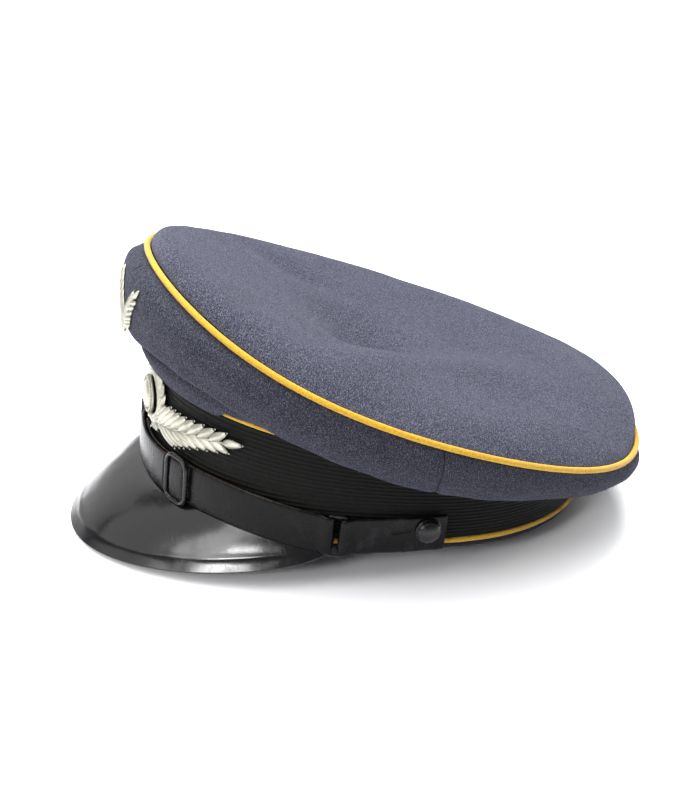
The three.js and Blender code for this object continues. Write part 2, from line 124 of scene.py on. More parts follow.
def makeWool(name, depth):
    # melton wool, fulled and raised: a matt felt with a soft bloom at grazing light; depth under 1 mixes it
    # towards black, which on the side panels is painted shade
    look = woolLook
    material, tree, shader, coords = startMaterial(name, {
        "Roughness": 0.95, "Specular IOR Level": 0.1,
        "Sheen Weight": 0.22 * depth, "Sheen Roughness": 0.4, "Sheen Tint": srgb(look["bloom"])})
    combed = addNode(tree, "Mapping", {
        "Vector": coords["Object"], "Rotation": (0, 0.3, math.radians(38)), "Scale": (1, 2.6, 1.6)})
    fibre = noiseNode(tree, combed, look["fibre"])
    nap = noiseNode(tree, coords["Object"], look["nap"], roughness=0.6)
    mottle = noiseNode(tree, coords["Object"], look["mottle"], roughness=0.5)
    lint = noiseNode(tree, combed, look["lintSize"], detail=4, roughness=0.75)
    colour = mixColours(tree, mapRange(tree, mottle, 0.2, 0.8), look["shade"], look["lit"])
    colour = mixColours(tree, mapRange(tree, nap, 0.36, 0.6, 0.75, 0), colour, look["shade"])
    colour = mixColours(tree, mapRange(tree, fibre, 0.52, 0.36, 0, 0.9), colour, look["fleck"])
    colour = mixColours(tree, mapRange(tree, fibre, 0.52, 0.66, 0, 0.85), colour, look["bright"])
    colour = mixColours(tree, mapRange(tree, lint, 0.735, 0.77, 0, 0.8), colour, look["lint"])
    # depth under 1 darkens the colour towards black; on the side panels this darkening is painted shade
    colour = mixColours(tree, 1 - depth, colour, "#000000")
    bump = bumpNode(tree, fibre, 0.8, 0.4, bumpNode(tree, nap, 0.7, 0.8))
    setInputs(tree, shader, {"Base Color": colour, "Normal": bump})
    return material


pipingLook = {
    "lit": "#ab861d", "shade": "#866210", "dirt": "#8a6420",
    "fibre": 0.7,  # mm, drawn coarser than the real 0.03 mm fibre so that it shows
    "soil": 9,     # mm
}


def makePipingCloth():
    # facing cloth in golden yellow, folded over a cord: fine felt with faint soiling
    look = pipingLook
    material, tree, shader, coords = startMaterial("golden facing cloth", {
        "Roughness": 0.9, "Specular IOR Level": 0.2, "Sheen Weight": 0.15, "Sheen Roughness": 0.5})
    fibre = noiseNode(tree, coords["Object"], look["fibre"])
    soil = noiseNode(tree, coords["Object"], look["soil"], detail=4, roughness=0.65)
    colour = mixColours(tree, mapRange(tree, fibre, 0.3, 0.62), look["shade"], look["lit"])
    colour = mixColours(tree, mapRange(tree, soil, 0.62, 0.78, 0, 0.5), colour, look["dirt"])
    setInputs(tree, shader, {"Base Color": colour, "Normal": bumpNode(tree, fibre, 0.6, 0.3)})
    return material


mohairLook = {
    "yarn": "#0c0d0b", "dust": "#23221d",
    "pitch": 0.55,    # mm between the upright yarns, drawn coarser than the real 0.3 mm so that they show
    "dustPatch": 7,   # mm
}


def makeMohair():
    # ribbed mohair braid: black, each rib wrapped in fine upright yarn with a dull sheen
    look = mohairLook
    material, tree, shader, coords = startMaterial("mohair braid", {
        "Roughness": 0.6, "Specular IOR Level": 0.08})
    yarns = addNode(tree, "TexWave", {  # at scale 1 its bands are pi / 10 apart
        "Vector": coords["UV"], "bands_direction": "X", "Scale": perMetre(look["pitch"]) * math.pi / 10,
        "Distortion": 0.6, "Detail": 1})
    dust = noiseNode(tree, coords["Object"], look["dustPatch"], detail=5, roughness=0.75)
    colour = mixColours(tree, mapRange(tree, dust, 0.58, 0.8, 0, 0.55), look["yarn"], look["dust"])
    setInputs(tree, shader, {"Base Color": colour, "Normal": bumpNode(tree, yarns, 0.5, 0.2)})
    return material


lacquerLook = {
    "coat": "#060607", "dust": "#2a2928",
    "wobble": 26,     # mm, slow waves that the pressed fibre gives the gloss
    "scratch": 3,     # mm long, a ninth of that wide: drawn coarser than real hairlines so that they show
    "speck": 1.6,     # mm, drawn coarser than real dust so that it shows
}


def makeLacquer():
    # black lacquer over pressed vulcanised fibre: deep gloss, slight waviness, dust and hairline scratches
    look = lacquerLook
    material, tree, shader, coords = startMaterial("black lacquer on vulcanised fibre", {"IOR": 1.45})
    drawn = addNode(tree, "Mapping", {
        "Vector": coords["Object"], "Rotation": (0, 0, 0.5), "Scale": (1, 9, 1)})
    wobble = noiseNode(tree, coords["Object"], look["wobble"], detail=2, roughness=0.5)
    scratch = noiseNode(tree, drawn, look["scratch"])
    speck = noiseNode(tree, coords["Object"], look["speck"], detail=5, roughness=0.8)
    setInputs(tree, shader, {
        "Base Color": mixColours(tree, mapRange(tree, speck, 0.68, 0.78, 0, 0.5), look["coat"], look["dust"]),
        "Roughness": mapRange(tree, scratch, 0.35, 0.75, 0.12, 0.28),
        "Normal": bumpNode(tree, scratch, 0.12, 0.2, bumpNode(tree, wobble, 0.35, 2))})
    return material


cutFibreLook = {"dark": "#1d1512", "pale": "#5e4234", "mottle": 4}


def makeCutFibre():
    # vulcanised fibre where it is cut or left bare: dull brown, a little mottled
    look = cutFibreLook
    material, tree, shader, coords = startMaterial("bare vulcanised fibre", {"Roughness": 0.7})
    patch = noiseNode(tree, coords["Object"], look["mottle"], detail=4)
    setInputs(tree, shader, {"Base Color": mixColours(tree, patch, look["dark"], look["pale"])})
    return material


leatherLook = {
    "dye": "#080809", "rubbed": "#232526", "raw": "#2e251e", "slit": "#010101",
    "crease": 5,      # mm
    "pore": 0.7,      # mm, drawn coarser than real pores so that they show
    "scuff": 11,      # mm
    "edge": 0.2,      # mm of the edge worn to raw leather
}


def slitMask(tree, uv, across, slit):
    # a buttonhole's slit: 1 on a fine line that rises a little towards the stud
    along = addNode(tree, "SeparateXYZ", {"Vector": uv}).outputs["X"]
    offCentre = mathNode(tree, "SUBTRACT", mathNode(tree, "ABSOLUTE", along), arcAt(slit["angle"]) / 1000)
    line = mathNode(tree, "MULTIPLY_ADD", offCentre, slit["slope"], slit["height"] / 1000)
    offLine = mathNode(tree, "ABSOLUTE", mathNode(tree, "SUBTRACT", across, line))
    isNear = mapRange(tree, offLine, slit["wide"] / 1000, slit["wide"] / 2000)
    reach = mathNode(tree, "ABSOLUTE", offCentre)
    isWithin = mapRange(tree, reach, slit["half"] / 1000, slit["half"] / 1100)
    return mathNode(tree, "MULTIPLY", isNear, isWithin)


def makeLeather(name, width, wear, slit=None):
    # finished calf leather dyed black: smooth, creased across, rubbed grey, brown where the edge is worn; on
    # the tabs the rubbed grey is turned up to full and is partly a painted sheen
    look = leatherLook
    material, tree, shader, coords = startMaterial(name, {"IOR": 1.45, "Specular IOR Level": 0.1})
    across = addNode(tree, "SeparateXYZ", {"Vector": coords["UV"]}).outputs["Y"]
    crossed = addNode(tree, "Mapping", {
        "Vector": coords["UV"], "Scale": (3.2, 1, 1), "Rotation": (0, 0, 0.25)})
    crease = noiseNode(tree, crossed, look["crease"], detail=4, roughness=0.65)
    pore = noiseNode(tree, coords["Object"], look["pore"], detail=2, roughness=0.5)
    scuff = noiseNode(tree, coords["UV"], look["scuff"], detail=6, roughness=0.72)
    # scuffs mixed towards rubbed grey up to wear; at wear 1 on the tabs this is partly real rubbing and
    # partly painted sheen
    colour = mixColours(tree, mapRange(tree, scuff, 0.52, 0.78, 0, wear), look["dye"], look["rubbed"])
    half = width / 2000
    edge = mapRange(tree, mathNode(tree, "ABSOLUTE", across), half - look["edge"] / 1000, half)
    patchy = mathNode(tree, "MULTIPLY", edge, mapRange(tree, crease, 0.3, 0.6))
    colour = mixColours(tree, patchy, colour, look["raw"])
    bump = bumpNode(tree, pore, 0.15, 0.1, bumpNode(tree, crease, 0.3, 0.5))
    if slit:
        cut = slitMask(tree, coords["UV"], across, slit)
        colour = mixColours(tree, cut, colour, look["slit"])
        bump = setInputs(tree, bumpNode(tree, cut, 1, 0.8, bump), {"invert": True})
    setInputs(tree, shader, {
        "Base Color": colour, "Roughness": mapRange(tree, scuff, 0.3, 0.8, 0.14, 0.42), "Normal": bump})
    return material


enamelLook = {"coat": "#0b0b0d", "chip": "#3a302b", "chipSize": 2.4}


def makeEnamel():
    # stove enamel on pressed steel: black gloss, chipped to brown in places
    look = enamelLook
    material, tree, shader, coords = startMaterial("black stove enamel", {
        "IOR": 1.5, "Specular IOR Level": 0.22, "Coat Weight": 0.06, "Coat Roughness": 0.1})
    chip = noiseNode(tree, coords["Object"], look["chipSize"], detail=5)
    setInputs(tree, shader, {
        "Base Color": mixColours(tree, mapRange(tree, chip, 0.58, 0.7, 0, 0.8), look["coat"], look["chip"]),
        "Roughness": mapRange(tree, chip, 0.4, 0.7, 0.22, 0.55),
        "Normal": bumpNode(tree, chip, 0.2, 0.2)})
    return material


aluminiumLook = {
    "bright": "#9b998d", "tarnish": "#625f53",
    "grain": 0.6,     # mm, drawn coarser than real casting grain so that it shows
    "patch": 6,       # mm
}


def makeAluminium():
    # cast aluminium, brushed and gone dull: pale warm grey, fine casting grain
    look = aluminiumLook
    material, tree, shader, coords = startMaterial("cast aluminium", {"Metallic": 0.85})
    grain = noiseNode(tree, coords["Object"], look["grain"])
    tarnish = noiseNode(tree, coords["Object"], look["patch"], detail=5)
    tarnished = mapRange(tree, tarnish, 0.5, 0.75, 0, 0.7)
    setInputs(tree, shader, {
        "Base Color": mixColours(tree, tarnished, look["bright"], look["tarnish"]),
        "Roughness": mapRange(tree, grain, 0.3, 0.7, 0.3, 0.55),
        "Normal": bumpNode(tree, grain, 0.35, 0.2)})
    return material


wool = makeWool("melton wool cloth", 1)
# the side panels' wool is the same cloth darkened to 0.62 as painted shade, so the sides read darker than the
# top
shadedSideWool = makeWool("melton wool cloth, darkened as painted shade", 0.62)
# the band's strip of wool is the same cloth drawn darker, at 0.4 of the crown's colour
bandWool = makeWool("melton wool cloth, drawn darker", 0.4)
pipingCloth = makePipingCloth()
mohair = makeMohair()
lacquer = makeLacquer()
cutFibre = makeCutFibre()
enamel = makeEnamel()
aluminium = makeAluminium()
print("materials made")


def smoothValue(table, key, angle, before=1, after=1):
    # before and after tell how the column goes on past its ends: 1 mirrored, -1 turned over, 0 not at all
    angles, values = table["angle"], table[key]
    last = len(angles) - 1

    def row(k):
        if 0 <= k <= last:
            return angles[k], values[k]
        end, kind = (0, before) if k < 0 else (last, after)
        if kind == 0:
            return angles[end], values[end]
        inner = -k if k < 0 else 2 * last - k
        return 2 * angles[end] - angles[inner], values[end] + kind * (values[inner] - values[end])

    start = 0
    while start < last - 1 and angle > angles[start + 1]:
        start += 1
    (xa, ya), (xb, yb), (xc, yc), (xd, yd) = [row(start + k) for k in (-1, 0, 1, 2)]
    span = xc - xb
    slopeB = (yc - ya) / (xc - xa) * span
    slopeC = (yd - yb) / (xd - xb) * span
    u = min(max((angle - xb) / span, 0), 1)
    return ((2 * u ** 3 - 3 * u ** 2 + 1) * yb + (u ** 3 - 2 * u ** 2 + u) * slopeB
            + (3 * u ** 2 - 2 * u ** 3) * yc + (u ** 3 - u ** 2) * slopeC)


def smoothstep(low, high, x):
    t = min(max((x - low) / (high - low), 0), 1)
    return t * t * (3 - 2 * t)


def bell(x):
    return math.exp(-x * x)


def fromFront(angle):
    return abs((angle + 180) % 360 - 180)


def splinePoint(points, u):  # smooth curve through the points, u from 0 to 1
    last = len(points) - 1
    f = min(max(u, 0), 0.99999) * last
    i = int(f)
    t = f - i

    def at(k):
        if k < 0:
            return 2 * points[0] - points[1]
        if k > last:
            return 2 * points[last] - points[last - 1]
        return points[k]

    a, b, c, d = at(i - 1), at(i), at(i + 1), at(i + 2)
    return 0.5 * (2 * b + (c - a) * t + (2 * a - 5 * b + 4 * c - d) * t * t
                  + (3 * b - a - 3 * c + d) * t ** 3)


def evenPath(points, count, samples=160):  # the same curve in steps of even length
    line = [splinePoint(points, k / samples) for k in range(samples + 1)]
    lengths = [0]
    for k in range(samples):
        lengths.append(lengths[-1] + (line[k + 1] - line[k]).length)
    path = []
    k = 0
    for i in range(count + 1):
        wanted = lengths[-1] * i / count
        while k < samples - 1 and lengths[k + 1] < wanted:
            k += 1
        step = (wanted - lengths[k]) / max(lengths[k + 1] - lengths[k], 1e-9)
        path.append(line[k].lerp(line[k + 1], min(max(step, 0), 1)))
    return path


def gridMesh(columns, rows, place, size=(1, 1), isMerged=True, uvAt=None):
    # a sheet with each corner where place(column, row) says; size is what its UV map spans, in mm
    bm = bmesh.new()
    bmesh.ops.create_grid(bm, x_segments=columns, y_segments=rows, size=0.5)
    layer = bm.loops.layers.uv.new("UVMap")
    for face in bm.faces:
        for loop in face.loops:
            x, y = loop.vert.co.x, loop.vert.co.y
            if uvAt:
                u, v = uvAt(round((x + 0.5) * columns), round((y + 0.5) * rows))
            else:
                u, v = x * size[0], y * size[1]
            loop[layer].uv = (u / 1000, v / 1000)
    along, down = bm.verts.layers.float.new("along"), bm.verts.layers.float.new("down")
    for vert in bm.verts:
        vert[along], vert[down] = vert.co.x + 0.5, vert.co.y + 0.5
        vert.co = place(round(vert[along] * columns), round(vert[down] * rows))
    if isMerged:
        bmesh.ops.remove_doubles(bm, verts=bm.verts[:], dist=1e-3)
    bm.normal_update()
    return bm


def closeUp(bm):  # caps open ends, then turns every face outwards
    rims = [edge for edge in bm.edges if edge.is_boundary]
    if rims:
        bmesh.ops.holes_fill(bm, edges=rims, sides=0)
    bmesh.ops.recalc_face_normals(bm, faces=bm.faces[:])
    return bm


def faceAwayFrom(bm, point):
    bm.normal_update()
    outward = sum(face.normal.dot(face.calc_center_median() - point) * face.calc_area() for face in bm.faces)
    if outward < 0:
        bmesh.ops.reverse_faces(bm, faces=bm.faces[:])
    bm.normal_update()
    return bm


def push(bm, depth):  # moves each corner along its normal by depth(place, along, down)
    along, down = bm.verts.layers.float["along"], bm.verts.layers.float["down"]
    bm.normal_update()
    moves = [(vert, vert.normal * depth(vert.co, vert[along], vert[down])) for vert in bm.verts]
    for vert, move in moves:
        vert.co += move


def ripple(co, size, seed=0.0):
    return noise.noise(Vector((co.x / size + seed, co.y / size - seed, co.z / size + 2 * seed)))


def makePiece(name, bm, materials, nodes, thickness=0):  # nodes: what it stands for
    bm.transform(restPlace)
    mesh = bpy.data.meshes.new(name)
    bm.to_mesh(mesh)
    bm.free()
    piece = bpy.data.objects.new(name, mesh)
    bpy.context.scene.collection.objects.link(piece)
    for material in materials:
        mesh.materials.append(material)
    mesh.shade_smooth()
    if thickness:
        wall = piece.modifiers.new("wall", "SOLIDIFY")
        wall.thickness = thickness / 1000
        wall.offset = -1
        wall.use_quality_normals = True
    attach(piece, "root")
    if nodes:
        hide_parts(*nodes)
    return piece


# the band's outline carries every other piece, so its sizes come first
band = {
    "halfLength": 102, "halfWidth": 87, "wall": 2.8, "arch": 5, "top": 60.5, "topDrop": 14.5,
    "sideLift": {"rise": 2.6, "angle": 78, "spread": 24},
    "face": -0.2, "foot": 2.6, "footOut": 1.2, "footRound": 1.2, "footSteps": 8,
    "ledge": 5.5, "ledgeDrop": 0.7, "ledgeBevel": (0.3, 0.2), "around": 360, "pattern": (600, 120),
    "piping": 2.4, "pipingGap": 0.1, "pipingAround": 640, "lowerPiping": 7, "gap": 0.3,
    "mohair": {"back": 0.1, "thick": 1.7, "tuckUnder": 0.4, "ribs": 23, "perRib": 8, "ribDepth": 0.5,
               "ribWidth": 0.2, "around": 480, "pattern": (600, 110)},
}


def bandPoint(angle, out, z):  # out: mm outside the band's outline
    s, c = math.sin(math.radians(angle)), math.cos(math.radians(angle))
    normal = Vector((s / band["halfWidth"], -c / band["halfLength"])).normalized()
    return Vector((band["halfWidth"] * s + normal.x * out, -band["halfLength"] * c + normal.y * out, z))


def baseLift(angle):  # the band's lower edge arches up over the ears
    peak = band["sideLift"]
    extra = peak["rise"] * bell((fromFront(angle) - peak["angle"]) / peak["spread"])
    return band["arch"] * math.sin(math.radians(angle)) ** 2 + extra


def topSeam(angle):  # its upper edge drops towards the back
    return band["top"] - band["topDrop"] * (1 - math.cos(math.radians(angle))) / 2


# lengths along the strap's middle, from the front to behind the ears
arcs = {"step": 0.25, "reach": 110, "out": 4}
bandStep = arcs["step"]
arcTable = [0]
while len(arcTable) < arcs["reach"] / bandStep:
    k = len(arcTable)
    before, after = [bandPoint(angle * bandStep, arcs["out"], 0) for angle in (k - 1, k)]
    arcTable.append(arcTable[-1] + (after - before).length)


def arcAt(angle):
    f = abs(angle) / bandStep
    k = min(int(f), len(arcTable) - 2)
    return math.copysign(arcTable[k] + (arcTable[k + 1] - arcTable[k]) * (f - k), angle)


def angleAt(arc):
    k = 0
    while k < len(arcTable) - 2 and arcTable[k + 1] < abs(arc):
        k += 1
    return math.copysign((k + (abs(arc) - arcTable[k]) / (arcTable[k + 1] - arcTable[k])) * bandStep, arc)


# the raised nap of the wool
nap = {
    "perSquare": 0.24,         # fibres on a square millimetre
    "length": [0.5, 1.3], "width": 0.1, "rootDepth": 0.2, "belly": 0.4,
    "rise": 0.45, "combed": (0.5, 0.7, 0), "stray": 0.8, "scatter": 0.6, "seed": 11,
}


def napOver(bm):
    # loose fibres: slim closed spindles, drawn four times as thick as real ones so that they show
    strands = random.Random(nap["seed"])
    faces = list(bm.faces)
    areas = [face.calc_area() for face in faces]
    fuzz = bmesh.new()
    for face in strands.choices(faces, weights=areas, k=round(sum(areas) * nap["perSquare"])):
        stray = Vector([strands.gauss(0, nap["stray"]) for axis in range(3)])
        lean = (Vector(nap["combed"]) + stray).cross(face.normal)
        direction = (face.normal * nap["rise"] + lean.normalized() * strands.random()).normalized()
        scatter = strands.uniform(-nap["scatter"], nap["scatter"])
        root = face.calc_center_median() + lean.cross(face.normal) * scatter
        tip = root + direction * strands.uniform(*nap["length"])
        side = lean.cross(direction).normalized()
        other = direction.cross(side)
        ends = [fuzz.verts.new(root - face.normal * nap["rootDepth"]), fuzz.verts.new(tip)]
        ring = []
        for turn in (0, 120, 240):
            a = math.radians(turn)
            offset = (side * math.cos(a) + other * math.sin(a)) * nap["width"] / 2
            ring.append(fuzz.verts.new(root.lerp(tip, nap["belly"]) + offset))
        for k in range(3):
            fuzz.faces.new((ring[k], ring[(k + 1) % 3], ends[1]))
            fuzz.faces.new((ring[(k + 1) % 3], ring[k], ends[0]))
    return fuzz


crown = {
    "halfLength": 114.8, "halfWidth": 111.7, "back": 6.5, "squareness": 0.0145,
    "height": [68.3, 33.7, 4, 0, 1],  # cosine terms of the seam's height round the crown
    "piping": 2.7, "cloth": 2.1, "topCloth": 2.3, "gap": 0.3,
    "topCentre": 67.5, "topEdgeLift": 0.8, "swellPower": 1.5,
    "sideSeam": 80, "sideSeamGap": 0.06, "endGap": 0.01,
    "seamOut": 0.2, "underPiping": 0.15, "seamDepth": 0.7, "seamWidth": 1.3, "overPiping": 3.8,
    "tuckInside": 1.6, "tuckLift": [1.9, 1.55],
    "topColumns": 380, "topRows": 96, "rowCrowding": 1.35, "sideRows": 92, "columnsPerDegree": 1.9,
    "pipingAround": 900, "panelSize": (170, 70), "topSize": (230, 230),
    # slow waves of the cloth: height, length, place in the noise
    "sideWaves": [(1.3, 42, 3.1), (0.5, 15, 1.7)], "topWaves": [(0.7, 45, 5.2), (0.3, 16, 2.2)],
    "sideFade": {"in": (0, 0.06), "out": (0.55, 0.8)}, "topFade": (0.86, 0.99),
    # how high the top rolls up inside its seam and how squarely; the near rows are the wearer's left
    "roll": {"angle": [0, 50, 100, 140, 180], "rise": [9.8, 6.8, 6.2, 10.6, 13.4],
             "power": [36, 36, 24, 15, 15],
             "nearRise": [9.8, 11.0, 15.0, 15.5, 13.4], "nearPower": [36, 7, 4.5, 5.5, 15]},
    # the crease under the front's overhang, and the hem that lies on the band below it
    "fold": {"depth": 9.0, "below": 1.5, "bulgeOut": 9.4, "bulgeBelow": 7.5, "hemOut": 5.4, "hemOver": -0.4,
             "fadeFrom": 36, "fadeTo": 48, "hemFrom": 32, "hemTo": 39},
    # at the back the cloth rolls out over the piping
    "overhang": {"out": 8.6, "angle": 184, "spread": 38, "share": 0.962, "width": 0.031},
    # soft dents and swells of the top: centre, heading of the long axis in degrees, length, width, height
    "dents": [
        {"x": 50, "y": -15, "turn": 131, "long": 40, "wide": 17, "rise": 6.4},
        {"x": 28, "y": 36, "turn": 113, "long": 32, "wide": 17, "rise": 5.2},
        {"x": 2, "y": -12, "turn": 25, "long": 28, "wide": 21, "rise": -9.0},
        {"x": -64, "y": -24, "turn": 60, "long": 20, "wide": 12, "rise": -4.0},
        {"x": 70, "y": 30, "turn": 120, "long": 30, "wide": 14, "rise": -1.2},
    ],
    # the side's section at each angle: out is mm outside the crown's outline, drop below its seam, Z is
    # a height, tuckOut is outside the band's outline and over is above the band's top seam
    "wall": {
        "angle": [0, 20, 38, 55, 75, 95, 115, 140, 180],
        "out1": [7.6, 7.2, 5.4, 3.3, 2.4, 1.8, 1.5, 1.6, 1.6],
        "drop1": [4.6, 4.8, 5.2, 5.5, 5.5, 5.0, 4.5, 4.0, 4.5],
        "out2": [9.6, 9.1, 6.8, 3.8, 2.6, 1.6, 1.5, 2.0, 1.9],
        "drop2": [14, 13, 12, 12, 12, 9.5, 8.2, 7.6, 9],
        "out3": [9.8, 8.0, 4.6, 2.2, 0.8, 0.0, -0.3, 0.2, -0.2],
        "wallZ": [83, 84, 77, 67, 57, 48.5, 40, 31.5, 27],
        "out4": [8.6, 5.6, 1.4, -1.4, -3.4, -4.4, -5.4, -6.4, -7.0],
        "foldZ": [75.5, 76.0, 71.0, 61.3, 50.8, 43.4, 35.4, 27.8, 23.4],
        "tuckOut": [7.0, 9.0, 9.5, 9.0, 9.0, 8.5, 8.5, 8.0, 8.0],
        "tuckZ": [66.5, 68.5, 66.5, 60.0, 51.0, 44.5, 38.0, 33.0, 30.0],
        "over": [2.4, 2.4, 2.2, 0.1, -0.8, -1, -1, -1, -1],
    },
}


def seamHeight(angle, share=1):
    terms = enumerate(crown["height"])
    return sum(term * share ** k * math.cos(math.radians(k * angle)) for k, term in terms)


def crownPoint(angle, out, z):
    def plan(a):
        a = math.radians(a)
        q = crown["squareness"]
        return Vector((
            crown["halfWidth"] * (math.sin(a) + q * math.sin(3 * a)) / (1 - q),
            crown["back"] - crown["halfLength"] * (math.cos(a) - q * math.cos(3 * a)) / (1 - q)))

    p = plan(angle)
    along = (plan(angle + 0.5) - plan(angle - 0.5)).normalized()
    return Vector((p.x + along.y * out, p.y - along.x * out, z))


def sidePath(angle):
    # the side's section from the piping down, round the lip and in under the band's top
    a = fromFront(angle)
    wall = {key: smoothValue(crown["wall"], key, a) for key in crown["wall"] if key != "angle"}
    seam, top = seamHeight(a), topSeam(angle)
    fold = crown["fold"]
    crease = 1 - smoothstep(fold["fadeFrom"], fold["fadeTo"], a)
    hem = 1 - smoothstep(fold["hemFrom"], fold["hemTo"], a)
    lip = crownPoint(angle, wall["out4"], wall["foldZ"])
    tuck = bandPoint(angle, wall["tuckOut"], wall["tuckZ"])
    over = bandPoint(angle, crown["overPiping"], top + wall["over"])
    lipOut = (lip - bandPoint(angle, 0, lip.z)).length
    valley = bandPoint(angle, lipOut - fold["depth"], lip.z - fold["below"])
    bulge = bandPoint(angle, fold["bulgeOut"], lip.z - fold["bulgeBelow"])
    under = bandPoint(angle, fold["hemOut"], top + fold["hemOver"])
    return [
        crownPoint(angle, crown["seamOut"], seam - crown["piping"] / 2 + crown["underPiping"]),
        crownPoint(angle, wall["out1"], seam - wall["drop1"]),
        crownPoint(angle, wall["out2"], seam - wall["drop2"]),
        crownPoint(angle, wall["out3"], wall["wallZ"]),
        lip,
        lip.lerp(tuck, 0.5).lerp(valley, crease),
        tuck.lerp(bulge, crease),
        tuck.lerp(over, 0.5).lerp(under, hem),
        over,
        bandPoint(angle, crown["tuckInside"], top + crown["tuckLift"][0]),
        bandPoint(angle, -band["wall"], top + crown["tuckLift"][1]),
    ]


def waves(co, rows):
    return sum(height * ripple(co, length, seed) for height, length, seed in rows)


def sideRelief(co, along, down, seams):
    fade = smoothstep(*crown["sideFade"]["in"], down) * (1 - smoothstep(*crown["sideFade"]["out"], down))
    depth = fade * waves(co, crown["sideWaves"])
    for end, isSeam in zip((along, 1 - along), seams):
        depth -= isSeam * crown["seamDepth"] * bell(end * crown["panelSize"][0] / crown["seamWidth"])
    return depth


def sidePanel(name, start, end):
    columns = round((end - start) * crown["columnsPerDegree"])
    rows = crown["sideRows"]
    angles = [start + (end - start) * i / columns for i in range(columns + 1)]
    paths = [evenPath(sidePath(angle), rows) for angle in angles]
    bm = gridMesh(columns, rows, lambda i, j: paths[i][j], size=crown["panelSize"], isMerged=False)
    faceAwayFrom(bm, Vector((0, 0, band["top"])))
    # the side seams draw the cloth in; at front and back it runs on smoothly
    seams = [fromFront(round(edge)) == crown["sideSeam"] for edge in (start, end)]
    push(bm, lambda co, along, down: sideRelief(co, along, down, seams))
    makePiece(name + "_nap", napOver(bm), [shadedSideWool], [])
    return makePiece(name, bm, [shadedSideWool], [name], thickness=crown["cloth"])


def topPoint(share, angle):
    # share: 0 at the middle of the top, 1 at its seam
    hang = crown["overhang"]
    over = hang["out"] * bell((angle % 360 - hang["angle"]) / hang["spread"])
    over = over * bell((share - hang["share"]) / hang["width"])
    edge = crownPoint(angle, over - crown["piping"] / 2 - crown["gap"], 0)
    middle = crown["topCentre"] - crown["height"][0] - crown["topEdgeLift"]
    isNear = 0 < angle % 360 < 180
    rise = smoothValue(crown["roll"], "nearRise" if isNear else "rise", fromFront(angle))
    power = smoothValue(crown["roll"], "nearPower" if isNear else "power", fromFront(angle))
    swell = middle + (rise - middle) * (1 - (1 - share ** 2) ** crown["swellPower"])
    return Vector((
        edge.x * share,
        crown["back"] + (edge.y - crown["back"]) * share,
        seamHeight(angle, share) + crown["topEdgeLift"] + swell * (1 - share ** power)))


def topRelief(co, along, down):
    depth = waves(co, crown["topWaves"])
    for dent in crown["dents"]:
        c, t = math.cos(math.radians(dent["turn"])), math.sin(math.radians(dent["turn"]))
        x, y = co.x - dent["x"], co.y - dent["y"]
        depth += dent["rise"] * bell((x * c + y * t) / dent["long"]) * bell((y * c - x * t) / dent["wide"])
    return depth * (1 - smoothstep(*crown["topFade"], down))


def crownTop():
    columns, rows = crown["topColumns"], crown["topRows"]
    shares = [1 - (1 - j / rows) ** crown["rowCrowding"] for j in range(rows + 1)]  # closer rows at the rim
    bm = gridMesh(columns, rows, lambda i, j: topPoint(shares[j], 360 * i / columns), size=crown["topSize"])
    faceAwayFrom(bm, Vector((0, 0, -400)))  # a point far below the flat top
    push(bm, topRelief)
    makePiece("crown_top_nap", napOver(bm), [wool], [])
    return makePiece("crown_top", bm, [wool], ["crown_top"], thickness=crown["topCloth"])


# how unevenly a covered cord runs: slow swells, and a fine one at every few stitches
cord = {"swell": 0.05, "swellLength": 6, "swellSeed": 8.3, "stitch": 0.025, "stitchStep": 9,
        "sides": 14, "pattern": (700, 8)}


def cordRing(name, point, height, diameter, out, around):
    sides = cord["sides"]

    def place(i, j):
        angle, turn = 360 * i / around, 2 * math.pi * j / sides
        line = point(angle, 0, height(angle))
        swell = cord["swell"] * ripple(line, cord["swellLength"], cord["swellSeed"])
        radius = diameter / 2 * (1 + swell + cord["stitch"] * math.sin(angle * around / cord["stitchStep"]))
        return point(angle, out + radius * math.cos(turn), height(angle) + radius * math.sin(turn))

    bm = closeUp(gridMesh(around, sides, place, size=cord["pattern"]))
    return makePiece(name, bm, [pipingCloth], [name])


crownTop()
for side, sign in (("left", 1), ("right", -1)):
    # the four panels all but meet at front and back, and leave a little more at the side seams
    front, seam, back = crown["endGap"], crown["sideSeam"], 180 - crown["endGap"]
    gap = crown["sideSeamGap"]
    for place, near, far in (("front", front, seam - gap), ("back", seam + gap, back)):
        sidePanel(f"crown_side_{place}_{side}", *sorted((sign * near, sign * far)))
cordRing("piping_crown", crownPoint, seamHeight, crown["piping"], 0, crown["pipingAround"])
print("crown made")


def ringSection(name, section, materials, columns, pattern):
    # a ring round the head from the section at each angle
    angles = [360 * i / columns for i in range(columns)]
    loops = [[bandPoint(angle, out, z) for out, z in section(angle)] for angle in angles]
    rows = len(loops[0])
    bm = closeUp(gridMesh(columns, rows, lambda i, j: loops[i % columns][j % rows], size=pattern))
    return makePiece(name, bm, materials, [name])


def bodySection(angle):
    foot, ledge = baseLift(angle) + band["foot"], baseLift(angle) + band["ledge"]
    top = topSeam(angle) + band["piping"] / 2
    inner, face, out = band["face"] - band["wall"], band["face"], band["footOut"]
    middle, half, rise = (inner + out) / 2, (out - inner) / 2, band["footRound"]
    corners = []
    for step in range(band["footSteps"] + 1):
        turn = math.radians(180 + 180 / band["footSteps"] * step)
        corners.append((middle + half * math.cos(turn), foot + rise + rise * math.sin(turn)))
    bevelIn, bevelDown = band["ledgeBevel"]
    corners += [(out, ledge - band["ledgeDrop"]), (out - bevelIn, ledge - bevelDown), (face, ledge)]
    return corners + [(face, top), (inner, top), (inner, (foot + top) / 2)]


def lowerSeam(angle):
    return baseLift(angle) + band["lowerPiping"]


